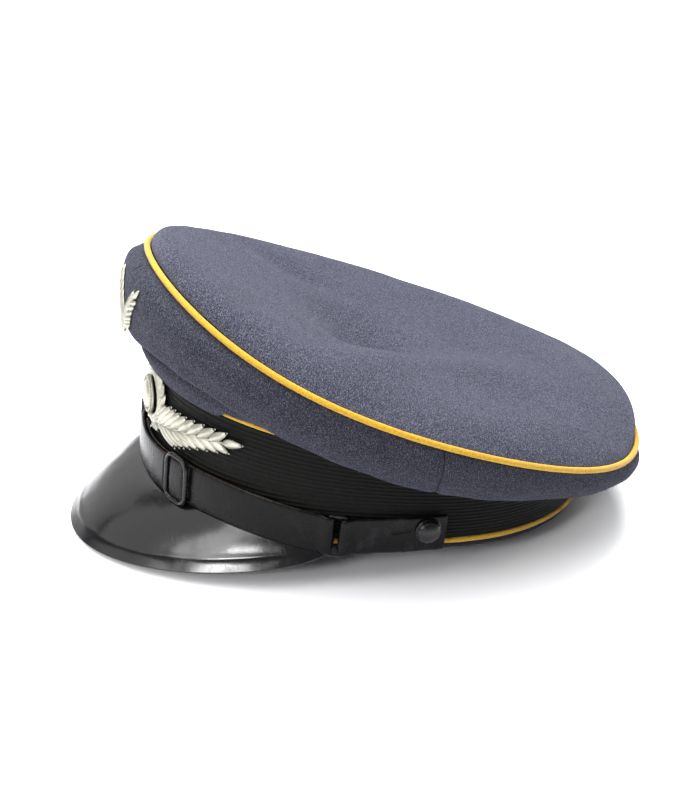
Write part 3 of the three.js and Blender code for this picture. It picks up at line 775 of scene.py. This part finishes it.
def mohairSection(angle):
    braid = band["mohair"]
    low = lowerSeam(angle) + band["piping"] / 2 + band["gap"] - braid["tuckUnder"]
    high = topSeam(angle) - band["piping"] / 2 - band["gap"] + braid["tuckUnder"]
    steps = braid["ribs"] * braid["perRib"]
    outer = braid["back"] + braid["thick"]
    face = []
    for k in range(steps + 1):
        share = k / steps
        swell = bell(((share * braid["ribs"]) % 1 - 0.5) / braid["ribWidth"])
        face.append((outer - braid["ribDepth"] * (1 - swell), low + (high - low) * share))
    return face + [(braid["back"], high), (braid["back"], low)]


ringSection("band_body", bodySection, [bandWool], band["around"], band["pattern"])
ringSection("mohair_band", mohairSection, [mohair],
            band["mohair"]["around"], band["mohair"]["pattern"])
for place, seam in (("top", topSeam), ("bottom", lowerSeam)):
    out = band["piping"] / 2 + band["pipingGap"]
    cordRing(f"piping_band_{place}", bandPoint, seam, band["piping"], out, band["pipingAround"])
print("band made")


# the visor's root follows the strap's lower edge, so the strap's sizes come before both
strap = {
    "thickness": 1.6, "out": 3.2, "width": 18, "lapStart": -7.5, "lapEnd": 15.6,
    "stepStart": -15, "stepLength": 9, "gap": 0.3, "crowned": 0.45,
    "squareAcross": 0.32, "squareDepth": 0.42, "endRound": 0.7, "endLeft": 0.02,
    "sides": 48, "spacing": 0.6, "tabSpacing": 0.4, "wear": 0.35,
    "edges": {"angle": [0, 17, 32, 45, 57, 66], "low": [9.9, 10.6, 11.4, 10.4, 8.8, 8.2],
              "high": [27.6, 29.2, 30.0, 29.0, 26.9, 25.6]},
    "tab": {"angle": [66, 75, 93], "low": [8.0, 10.6, 12.0], "high": [25.4, 27.0, 28.4]},
    # the tabs are rubbed grey at full strength: partly scuffing, partly a painted sheen
    "tabFrom": 65, "tabEnd": 90.8, "tabWearAndSheen": 1,
    "slit": {"angle": 80, "half": 3.9, "height": 1.8, "slope": 0.1, "wide": 0.55},
}

visor = {
    "thickness": 1.9, "halfAngle": 62.5, "underStrap": 0.15, "rootOut": 4.2, "arch": 0.09,
    "thinEnd": 0.4, "thinReach": 12,
    "columns": 300, "endCrowding": 0.35, "rows": 64, "rowCrowding": 1.5, "rim": 8, "rimOut": 0.5, "under": 24,
    "pattern": (300, 130),
    # the raised ridge inside the front edge, and the small step down outside it
    "ridgeInset": 5.4, "ridgeWidth": 1.3, "ridgeHeight": 0.17, "step": 0.1, "stepFrom": -1.2, "stepTo": 0.4,
    "ridgeFade": (7, 16),
    "edge": {
        "angle": [0, 15, 30, 45, 60, 75, 90],
        "side": [0, 22.0, 42.0, 59.0, 71.8, 79.8, 82.4],
        "front": [140.5, 135.8, 122.0, 102.0, 80.0, 60.6, 48.2],
        "height": [-18.2, -17.0, -14.4, -10.2, -4.4, 1.8, 7.0],
    },
}


def visorColumn(u):
    # u runs along the visor from 0 at the wearer's right end to 1 at the left
    side = 2 * u - 1
    a = abs(side)
    angle = side * visor["halfAngle"]
    rootHeight = smoothValue(strap["edges"], "low", abs(angle), 1, 0) - visor["underStrap"]
    root = bandPoint(angle, visor["rootOut"], rootHeight)
    across = smoothValue(visor["edge"], "side", a * 90, -1, 0)
    ahead = smoothValue(visor["edge"], "front", a * 90, 1, 0)
    height = smoothValue(visor["edge"], "height", a * 90, 1, 0)
    edge = Vector((math.copysign(across, side), -ahead, height))
    return root, edge, a


def visorFace(u, v):  # v: 0 at the root, 1 at the front edge
    root, edge, a = visorColumn(u)
    arch = visor["arch"] * (root - edge).length * math.sin(math.pi * v) * (1 - a * a)
    return root.lerp(edge, v) + Vector((0, 0, arch))


def visorNormal(u, v):
    e = 1e-3
    across = visorFace(min(u + e, 1), v) - visorFace(max(u - e, 0), v)
    ahead = visorFace(u, min(v + e, 1)) - visorFace(u, max(v - e, 0))
    normal = ahead.cross(across).normalized()
    return normal if normal.z > 0 else -normal


def makeVisor():
    columns, rows = visor["columns"], visor["rows"]
    rim, under, rimOut = visor["rim"], visor["under"], visor["rimOut"]
    crowding, thinEnd, ridgeAt = visor["endCrowding"], visor["thinEnd"], visor["ridgeInset"]
    loops = []
    for i in range(columns + 1):
        along = i / columns - 0.5
        u = 0.5 + 0.5 * math.sin(math.pi * along) * crowding + (1 - crowding) * along
        u = min(max(u, 0), 1)
        root, edge, a = visorColumn(u)
        reach = (root - edge).length
        thickness = visor["thickness"] * (thinEnd + (1 - thinEnd) * smoothstep(0, visor["thinReach"], reach))
        half = thickness / 2
        fade = smoothstep(*visor["ridgeFade"], reach)
        loop = []
        for j in range(rows + 1):
            v = 1 - (1 - j / rows) ** visor["rowCrowding"]
            v = v * (1 - rimOut / max(reach, 1))
            inset = (1 - v) * reach
            ridge = visor["ridgeHeight"] * bell((inset - ridgeAt) / visor["ridgeWidth"])
            step = visor["step"] * smoothstep(ridgeAt + visor["stepFrom"], ridgeAt + visor["stepTo"], inset)
            loop.append(visorFace(u, v) + visorNormal(u, v) * fade * (ridge + step - visor["step"]))
        tip, normal = visorFace(u, 1), visorNormal(u, 1)
        ahead = (visorFace(u, 1) - visorFace(u, 0.98)).normalized()
        for j in range(1, rim):
            turn = math.pi * j / rim
            centre = tip - ahead * rimOut - normal * half
            loop.append(centre + normal * half * math.cos(turn) + ahead * rimOut * math.sin(turn))
        for j in range(under + 1):
            v = (1 - j / under) * (1 - rimOut / max(reach, 1))
            loop.append(visorFace(u, v) - visorNormal(u, v) * thickness)
        loops.append(loop)
    count = len(loops[0])
    bm = gridMesh(columns, count, lambda i, j: loops[i][j % count], size=visor["pattern"])
    closeUp(bm)
    # the cut edge shows bare fibre along its lower half
    down = bm.verts.layers.float["down"]
    first, last = (rows + rim / 2) / count, (rows + rim) / count
    for face in bm.faces:
        downs = [vert[down] for vert in face.verts]
        if first <= min(downs) and max(downs) <= last + 0.5 / count:
            face.material_index = 1
    return makePiece("visor", bm, [lacquer, cutFibre], ["visor"])


makeVisor()
print("visor made")


leather = makeLeather("black calf leather", strap["width"], strap["wear"])
holedLeather = makeLeather(
    "black calf leather with a buttonhole", strap["width"], strap["tabWearAndSheen"], strap["slit"])

buckle = {
    "angle": 20.7, "height": 20.8, "width": 15.6, "length": 23.4, "rim": 2.0, "corner": 5.6, "thick": 2.2,
    "out": 5.35, "cornerSteps": 12,
    "bulge": 1.7, "shoulder": 1.8, "clear": 0.2,     # how the strap rises through its window
}
loopRing = {
    "angle": 65.2, "width": 8.0, "length": 20.2, "corner": 1.6, "wire": 1.4, "height": 16.8, "out": 3.95,
    "cornerSteps": 8,
    "wrap": 1.2, "wrapGap": 0.1, "back": 6, "climb": 5,     # how the leather goes round it
}


def edgesAt(angle):  # heights of the leather's lower and upper edge
    a = abs(angle)
    table, reach = (strap["edges"], 1) if a < strap["tabFrom"] else (strap["tab"], 0)
    return smoothValue(table, "low", a, reach, 0), smoothValue(table, "high", a, reach, 0)


def strapMesh(line, thickness):
    # line: stations (arc along the band, distance out) of the leather's middle; each gets one rounded section
    sides = strap["sides"]
    spots = [bandPoint(angleAt(arc), out, 0) for arc, out in line]
    lengths = [0]
    for before, after in zip(spots, spots[1:]):
        lengths.append(lengths[-1] + (after - before).length)
    last = len(line) - 1

    def acrossAt(j):
        a = math.cos(2 * math.pi * j / sides)
        return math.copysign(abs(a) ** strap["squareAcross"], a)

    def place(i, j):
        along = (spots[min(i + 1, last)] - spots[max(i - 1, 0)]).normalized()
        outward = Vector((along.y, -along.x, 0))
        low, high = edgesAt(angleAt(line[i][0]))
        b = math.sin(2 * math.pi * j / sides)
        across = acrossAt(j)
        fromEnd = min(lengths[i], lengths[last] - lengths[i])
        slim = max(math.sqrt(1 - max(1 - fromEnd / strap["endRound"], 0) ** 2), strap["endLeft"])
        depth = math.copysign(abs(b) ** strap["squareDepth"], b) * slim * thickness / 2
        crowned = strap["crowned"] * (1 - across * across) if b > 0 else 0
        z = (low + high) / 2 + across * (high - low) / 2
        return spots[i] + outward * (depth + crowned) + Vector((0, 0, z))

    def uvAt(i, j):
        low, high = edgesAt(angleAt(line[i][0]))
        return line[i][0], acrossAt(j) * (high - low) / 2

    return closeUp(gridMesh(last, sides, place, uvAt=uvAt))


def windowRise(arc):
    half = buckle["width"] / 2 - buckle["rim"]
    middles = (arcAt(buckle["angle"]), -arcAt(buckle["angle"]))
    nearest = min(abs(arc - middle) for middle in middles)
    return buckle["bulge"] * (1 - smoothstep(half - buckle["shoulder"], half + buckle["clear"], nearest))


def lapRise(arc):
    start = arcAt(strap["stepStart"])
    return (strap["thickness"] + strap["gap"]) * smoothstep(start, start + strap["stepLength"], arc)


def barAt(side):  # arc at the loop's bar towards the front, side -1, or towards the ear, side 1
    return arcAt(loopRing["angle"]) + side * (loopRing["width"] - loopRing["wire"]) / 2


wrapRadius = loopRing["wire"] / 2 + loopRing["wrapGap"] + loopRing["wrap"] / 2


def wrapLine(sign, side, turnSteps=16, backSteps=8):
    # round the wire: in over the bar on that side of the loop, round it and back beneath
    bar = barAt(side)
    line = []
    for step in range(turnSteps + 1):
        turn = math.radians(180 * step / turnSteps)
        arc = bar - side * wrapRadius * math.sin(turn)
        line.append((sign * arc, loopRing["out"] + wrapRadius * math.cos(turn)))
    for step in range(1, backSteps + 1):
        line.append((sign * (bar + side * loopRing["back"] * step / backSteps), loopRing["out"] - wrapRadius))
    return line


def layStrap(start, end, rise, step):
    stations = [start]
    while stations[-1] + step < end:
        stations.append(stations[-1] + step)
    return [(arc, strap["out"] + strap["thickness"] / 2 + rise(arc)) for arc in stations]


def raiseToWrap(line, sign, side):
    # the last stretch before the wire climbs to the top of the wrap
    top = loopRing["out"] + wrapRadius
    raised = []
    for arc, out in line:
        share = smoothstep(loopRing["climb"], 0, abs(sign * arc - barAt(side)))
        raised.append((arc, out + (top - out) * share))
    return raised


def overRise(arc):  # the right strap goes through its own buckle and on over the left strap
    return (windowRise(arc) if arc < 0 else 0) + lapRise(arc)


def makeStraps():
    foot, head = barAt(-1), barAt(1)
    left = layStrap(arcAt(strap["lapStart"]), foot, windowRise, strap["spacing"])
    left = raiseToWrap(left, 1, -1) + wrapLine(1, -1)
    right = layStrap(-foot, arcAt(strap["lapEnd"]), overRise, strap["spacing"])
    right = list(reversed(wrapLine(-1, -1))) + raiseToWrap(right, -1, -1)
    for name, line in (("chin_strap_left", left), ("chin_strap_right", right)):
        makePiece(name, strapMesh(line, strap["thickness"]), [leather], [name])
    tab = layStrap(head, arcAt(strap["tabEnd"]), lambda arc: 0, strap["tabSpacing"])
    tab = list(reversed(wrapLine(1, 1))) + raiseToWrap(tab, 1, 1)
    mirrored = [(-arc, out) for arc, out in reversed(tab)]
    for name, line in (("strap_tab_left", tab), ("strap_tab_right", mirrored)):
        makePiece(name, strapMesh(line, strap["thickness"]), [holedLeather], [name])


makeStraps()


def onBand(bm, angle, out, z):  # stands a flat piece on the band, its +Z outwards
    origin = bandPoint(angle, out, z)
    outward = (bandPoint(angle, out + 1, z) - origin).normalized()
    along = Vector((0, 0, 1)).cross(outward)
    bm.transform(Matrix((
        (along.x, 0, outward.x, origin.x),
        (along.y, 0, outward.y, origin.y),
        (along.z, 1, outward.z, origin.z),
        (0, 0, 0, 1))))
    return bm


def ringMesh(width, length, corner, rim, thick, cornerSteps, sides=16):
    # a rounded rectangular ring of round section
    path = []
    for sx, sy, start in ((1, 1, 0), (-1, 1, 90), (-1, -1, 180), (1, -1, 270)):
        for step in range(cornerSteps + 1):
            a = math.radians(start + 90 * step / cornerSteps)
            middle = Vector((sx * (width / 2 - corner), sy * (length / 2 - corner), 0))
            outward = Vector((math.cos(a), math.sin(a), 0))
            path.append((middle + outward * (corner - rim / 2), outward))
    count = len(path)

    def place(i, j):
        point, outward = path[i % count]
        turn = 2 * math.pi * j / sides
        height = thick / 2 + thick / 2 * math.sin(turn)
        return point + outward * rim / 2 * math.cos(turn) + Vector((0, 0, height))

    return closeUp(gridMesh(count, sides, place))


# profiles are shares of the radius and of the height, from the middle of the back to the crest
button = {
    "angle": 86, "height": 22, "radius": 5.7, "dome": 4.2, "sides": 64,
    "rim": [(0, 0), (0.9, 0), (0.97, 0.05), (1, 0.12), (1, 0.2), (0.97, 0.25), (0.93, 0.3)], "domeStep": 8,
}
onStrap = strap["out"] + strap["thickness"] + strap["gap"]


def domed(rim, step):
    # a round dome from the rim's last corner up to the crest
    radius, foot = rim[-1]
    arc = [math.radians(a) for a in range(10, 90, step)]
    return rim + [(radius * math.cos(a), foot + (1 - foot) * math.sin(a)) for a in arc] + [(0, 1)]


def turnedMesh(profile, radius, height, sides):
    bm = bmesh.new()
    verts = [bm.verts.new((r * radius, 0, h * height)) for r, h in profile]
    edges = [bm.edges.new(pair) for pair in zip(verts, verts[1:])]
    bmesh.ops.spin(bm, geom=verts + edges, cent=(0, 0, 0), axis=(0, 0, 1), angle=2 * math.pi, steps=sides,
                   use_merge=True)
    bmesh.ops.remove_doubles(bm, verts=bm.verts[:], dist=1e-3)
    return closeUp(bm)


def loopMesh():
    return ringMesh(loopRing["width"], loopRing["length"], loopRing["corner"], loopRing["wire"],
                    loopRing["wire"], loopRing["cornerSteps"])


def buckleMesh():
    return ringMesh(buckle["width"], buckle["length"], buckle["corner"], buckle["rim"], buckle["thick"],
                    buckle["cornerSteps"])


def buttonMesh():
    profile = domed(button["rim"], button["domeStep"])
    return turnedMesh(profile, button["radius"], button["dome"], button["sides"])


for side, sign in (("left", 1), ("right", -1)):
    for name, build, sizes, out in (
            (f"strap_loop_{side}", loopMesh, loopRing, loopRing["out"] - loopRing["wire"] / 2),
            (f"buckle_{side}", buckleMesh, buckle, buckle["out"]),
            (f"side_button_{side}", buttonMesh, button, onStrap)):
        bm = onBand(build(), sign * sizes["angle"], out, sizes["height"])
        makePiece(name, bm, [enamel], [name])
print("chin strap made")


# x runs along the band from the middle of the front and y up it; leaf is length and width at the stem's foot
# and at its tip, and in the wreath length, width and thickness
badge = {
    "out": 2.9, "centre": 46.1,
    "wreath": {"radius": 12.0, "leaves": 11, "leaf": (7.2, 3.0, 1.5), "open": 20, "rowGap": 1.1,
               "rowTurn": 24, "wire": 1.3, "low": 0.3, "lift": 0.3},
    "stem": [(11.5, 37.5), (24, 40.5), (42, 44.4), (62.0, 47.8)],
    "pairs": 8, "leaf": [(17.0, 5.6), (10.5, 4.2)], "spread": [34, 24], "thick": 1.7,
}
# how leaves stand on a spray's wire; look is how far ahead along it a leaf takes its heading
spray = {"wire": (0.9, 0.5), "wireHeight": 0.7, "leafTo": 0.9, "look": 0.03, "low": 0.3, "lift": 0.25}
boss = {
    "radius": 8.6, "height": 3.2, "out": 1.9, "sides": 72,
    "rim": [(0, 0), (0.96, 0), (1, 0.1), (1, 0.3), (0.95, 0.4), (0.84, 0.4), (0.8, 0.3), (0.76, 0.3)],
    "domeStep": 10, "beads": 34, "beadRadius": 0.75, "beadRing": 0.9, "beadHeight": 0.42,
}
sprig = {
    "out": 0.75, "wallOut": 7, "stem": [(1.2, 79.5), (4.0, 84.0), (8.5, 91.0), (14.0, 98.0)],
    "pairs": 6, "leaf": [(8.5, 3.4), (6.0, 2.6)], "spread": [34, 26], "thick": 1.6,
    "ring": {"radius": 2.4, "thick": 0.9, "height": 80.0, "out": 0.8},
}


# powers that set where a leaf is broadest and how full its outline, its ridge and its tip are
leafShape = {
    "broadest": 0.72, "outline": 0.8,                       # seen from above
    "edge": 0.35, "ridge": 0.8,                             # across it
    "blunt": 0.12, "taper": 0.8, "crest": 0.4,              # along its ridge
}


def leafMesh(length, width, thick, columns=14, sides=16):
    # pointed leaf along +X from the origin, a ridge along its middle and a shallow vein beside it
    def place(i, j):
        t, turn = i / columns, 2 * math.pi * j / sides
        a, b = math.cos(turn), math.sin(turn)
        shape = leafShape
        isPoint = t in (0, 1)
        half = 0 if isPoint else width / 2 * math.sin(math.pi * t ** shape["broadest"]) ** shape["outline"]
        across = shape["edge"] + (1 - shape["edge"]) * (1 - abs(a)) ** shape["ridge"]
        ahead = math.sin(math.pi * min(t + shape["blunt"], 1) ** shape["taper"]) ** shape["crest"]
        return Vector((length * t, half * a, thick * across * ahead * b if b > 0 else 0))

    return closeUp(gridMesh(columns, sides, place))


def join(parts):  # several bmeshes as one
    whole = bmesh.new()
    for part in parts:
        mesh = bpy.data.meshes.new("part")
        part.to_mesh(mesh)
        part.free()
        whole.from_mesh(mesh)
        bpy.data.meshes.remove(mesh)
    return whole


def lay(bm, x, y, turn, out):  # turned by that many degrees, then moved
    bm.transform(Matrix.Translation((x, y, out)) @ Matrix.Rotation(math.radians(turn), 4, "Z"))
    return bm


def between(pair, t):
    return pair[0] + (pair[1] - pair[0]) * t


def tube(points, radii, sides=10, columns=40):  # radii: at its start and at its end
    def place(i, j):
        u = i / columns
        middle = splinePoint(points, u)
        along = (splinePoint(points, min(u + 0.01, 1)) - splinePoint(points, max(u - 0.01, 0))).normalized()
        side = along.cross(Vector((0, 0, 1))).normalized()
        radius = between(radii, u)
        turn = 2 * math.pi * j / sides
        return middle + (side * math.cos(turn) + side.cross(along) * math.sin(turn)) * radius

    return closeUp(gridMesh(columns, sides, place))


def sprayParts(sizes, isMirrored):
    # a wire with pairs of leaves that grow smaller towards its tip, and one leaf at the tip
    points = [Vector((x, y, spray["wireHeight"])) for x, y in sizes["stem"]]
    parts = [tube(points, spray["wire"])]
    for k in range(sizes["pairs"] + 1):
        t = k / sizes["pairs"]
        spot = splinePoint(points, t * spray["leafTo"])
        ahead = splinePoint(points, min(t * spray["leafTo"] + spray["look"], 1)) - spot
        heading = math.degrees(math.atan2(ahead.y, ahead.x))
        length, width = [between(pair, t) for pair in zip(*sizes["leaf"])]
        angle = between(sizes["spread"], t)
        for side in ((0,) if k == sizes["pairs"] else (-1, 1)):
            leaf = leafMesh(length, width, sizes["thick"])
            lift = spray["low"] + spray["lift"] * (side > 0)
            parts.append(lay(leaf, spot.x, spot.y, heading + side * angle, lift))
    if isMirrored:
        for part in parts:
            part.transform(Matrix.Scale(-1, 4, (1, 0, 0)))
            bmesh.ops.reverse_faces(part, faces=part.faces[:])  # mirroring turned them inwards
    return parts


def wreathParts():
    # two boughs round the boss, each three leaves across, that leave a gap at top and bottom
    parts = []
    wreath = badge["wreath"]
    reach = 180 - wreath["open"]
    for side in (-1, 1):
        for k in range(wreath["leaves"]):
            around = -reach / 2 + reach * k / (wreath["leaves"] - 1)
            for row in (-1, 0, 1):
                radius = wreath["radius"] + wreath["rowGap"] * row
                a = math.radians(around if side > 0 else 180 - around)
                x, y = radius * math.cos(a), badge["centre"] + radius * math.sin(a)
                turn = math.degrees(a) + 90 * side - side * wreath["rowTurn"] * row
                lift = wreath["low"] + wreath["lift"] * (row == 0)
                parts.append(lay(leafMesh(*wreath["leaf"]), x, y, turn, lift))
    return parts


def bendOnBand(bm, out):  # wraps a flat piece round the band
    for vert in bm.verts:
        vert.co = bandPoint(angleAt(vert.co.x), out + vert.co.z, vert.co.y)
    return bm


def plainRing(radius, thick, y, out, columns=72, sides=12):
    def place(i, j):
        a, turn = 2 * math.pi * i / columns, 2 * math.pi * j / sides
        r = radius + thick * math.cos(turn)
        return Vector((r * math.cos(a), y + r * math.sin(a), out + thick * math.sin(turn)))

    return closeUp(gridMesh(columns, sides, place))


def makeBandBadge():
    parts = wreathParts()
    wreath = badge["wreath"]
    parts.append(plainRing(wreath["radius"], wreath["wire"], badge["centre"], wreath["low"]))
    for isMirrored in (False, True):
        parts += sprayParts(badge, isMirrored)
    bm = bendOnBand(join(parts), badge["out"])
    makePiece("band_badge", bm, [aluminium], ["band_badge"])


def makeBoss():
    profile = domed(boss["rim"], boss["domeStep"])
    parts = [turnedMesh(profile, boss["radius"], boss["height"], boss["sides"])]
    for k in range(boss["beads"]):
        a = 2 * math.pi * k / boss["beads"]
        bead = bmesh.new()
        bmesh.ops.create_uvsphere(bead, u_segments=10, v_segments=6, radius=boss["beadRadius"])
        r = boss["radius"] * boss["beadRing"]
        spot = (r * math.cos(a), r * math.sin(a), boss["height"] * boss["beadHeight"])
        bead.transform(Matrix.Translation(spot))
        parts.append(bead)
    bm = onBand(join(parts), 0, badge["out"] + boss["out"], badge["centre"])
    makePiece("badge_boss", bm, [aluminium], ["badge_boss"])


def makeCrownBadge():
    # laid on the crown's front wall: each corner goes to the wall's nearest quarter degree and its own height
    parts = []
    for isMirrored in (False, True):
        parts += sprayParts(sprig, isMirrored)
    ring = sprig["ring"]
    parts.append(plainRing(ring["radius"], ring["thick"], ring["height"], ring["out"]))
    bm = join(parts)
    perDegree = (crownPoint(1, sprig["wallOut"], 0) - crownPoint(0, sprig["wallOut"], 0)).length
    walls = {}
    for vert in bm.verts:
        angle = vert.co.x / perDegree
        near = round(angle * 4) / 4
        if near not in walls:
            walls[near] = evenPath(sidePath(near), 90)
        line = walls[near]
        k = next((n for n in range(1, len(line)) if line[n].z < vert.co.y), 1)
        step = (line[k - 1].z - vert.co.y) / (line[k - 1].z - line[k].z)
        spot = line[k - 1].lerp(line[k], step)
        down = (line[k] - line[k - 1]).normalized()
        across = (crownPoint(near + 1, 0, 0) - crownPoint(near - 1, 0, 0)).normalized()
        outward = down.cross(across).normalized()
        outward = -outward if outward.y > 0 else outward
        vert.co = spot + across * (angle - near) * perDegree + outward * (sprig["out"] + vert.co.z)
    makePiece("crown_badge", bm, [aluminium], ["crown_badge"])


makeBandBadge()
makeBoss()
makeCrownBadge()
print("badges made")


# metres and watts; the floor, lights and camera aren't part of the cap
stage = {
    "floorSize": 6, "floor": "#ececee", "sky": "#eef1f5", "skyStrength": 0.3,
    "softboxes": {
        "key softbox": {"place": (-0.62, 0.08, 1.36), "target": (0, 0, 0.05), "size": 1.3, "power": 80},
        "top softbox": {"place": (0.32, -0.34, 1.5), "target": (0.05, -0.05, 0), "size": 1.1, "power": 18},
        "back softbox": {"place": (0.62, 0.75, 1.5), "target": (0.05, 0.05, 0), "size": 1, "power": 11},
        "left panel": {"place": (-1.28, -0.75, 0.5), "target": (0, -0.05, 0.03), "size": 1.1, "power": 4.5},
        "front panel": {"place": (-0.2, -1.15, 1.1), "target": (0, -0.1, 0.03), "size": 1.3, "power": 8},
        "window": {"place": (0.44, -0.99, 0.76), "target": (0.05, -0.07, 0.02), "size": 0.36, "power": 4},
        "lamp": {"place": (0.7, -0.95, 0.57), "target": (0.05, -0.07, 0.02), "size": 0.2, "power": 7.5},
    },
    "camera": {"place": (0.51202, -0.18061, 0.32156), "back": (0.84119, -0.29444, 0.45355), "roll": 1.4133,
               "lens": 58.5},
}


def makeFloor():
    bm = bmesh.new()
    bmesh.ops.create_grid(bm, x_segments=1, y_segments=1, size=stage["floorSize"])
    mesh = bpy.data.meshes.new("floor")
    bm.to_mesh(mesh)
    bm.free()
    floor = bpy.data.objects.new("floor", mesh)
    bpy.context.scene.collection.objects.link(floor)
    paper, *nodes = startMaterial("white paper sweep", {
        "Base Color": srgb(stage["floor"]), "Roughness": 0.9, "Specular IOR Level": 0.1})
    mesh.materials.append(paper)


def addSoftbox(name, place, target, size, power):
    light = bpy.data.lights.new(name, "AREA")
    light.shape, light.size, light.energy = "SQUARE", size, power
    lamp = bpy.data.objects.new(name, light)
    lamp.location = place
    lamp.rotation_euler = (Vector(target) - Vector(place)).to_track_quat("-Z", "Y").to_euler()
    bpy.context.scene.collection.objects.link(lamp)


def addCamera():
    camera = stage["camera"]
    data = bpy.data.cameras.new("camera")
    data.lens = camera["lens"]
    data.clip_start = 0.01
    eye = bpy.data.objects.new("camera", data)
    look = (-Vector(camera["back"])).to_track_quat("-Z", "Y").to_matrix().to_4x4()
    roll = Matrix.Rotation(math.radians(camera["roll"]), 4, "Z")
    eye.matrix_world = Matrix.Translation(camera["place"]) @ look @ roll
    bpy.context.scene.collection.objects.link(eye)
    bpy.context.scene.camera = eye


makeFloor()
for name, light in stage["softboxes"].items():
    addSoftbox(name, light["place"], light["target"], light["size"], light["power"])
world = bpy.data.worlds.new("studio")
world.use_nodes = True
sky = world.node_tree.nodes["Background"]
sky.inputs["Color"].default_value = srgb(stage["sky"])
sky.inputs["Strength"].default_value = stage["skyStrength"]
bpy.context.scene.world = world
bpy.context.scene.view_settings.view_transform = "Standard"
addCamera()
print("stage set")
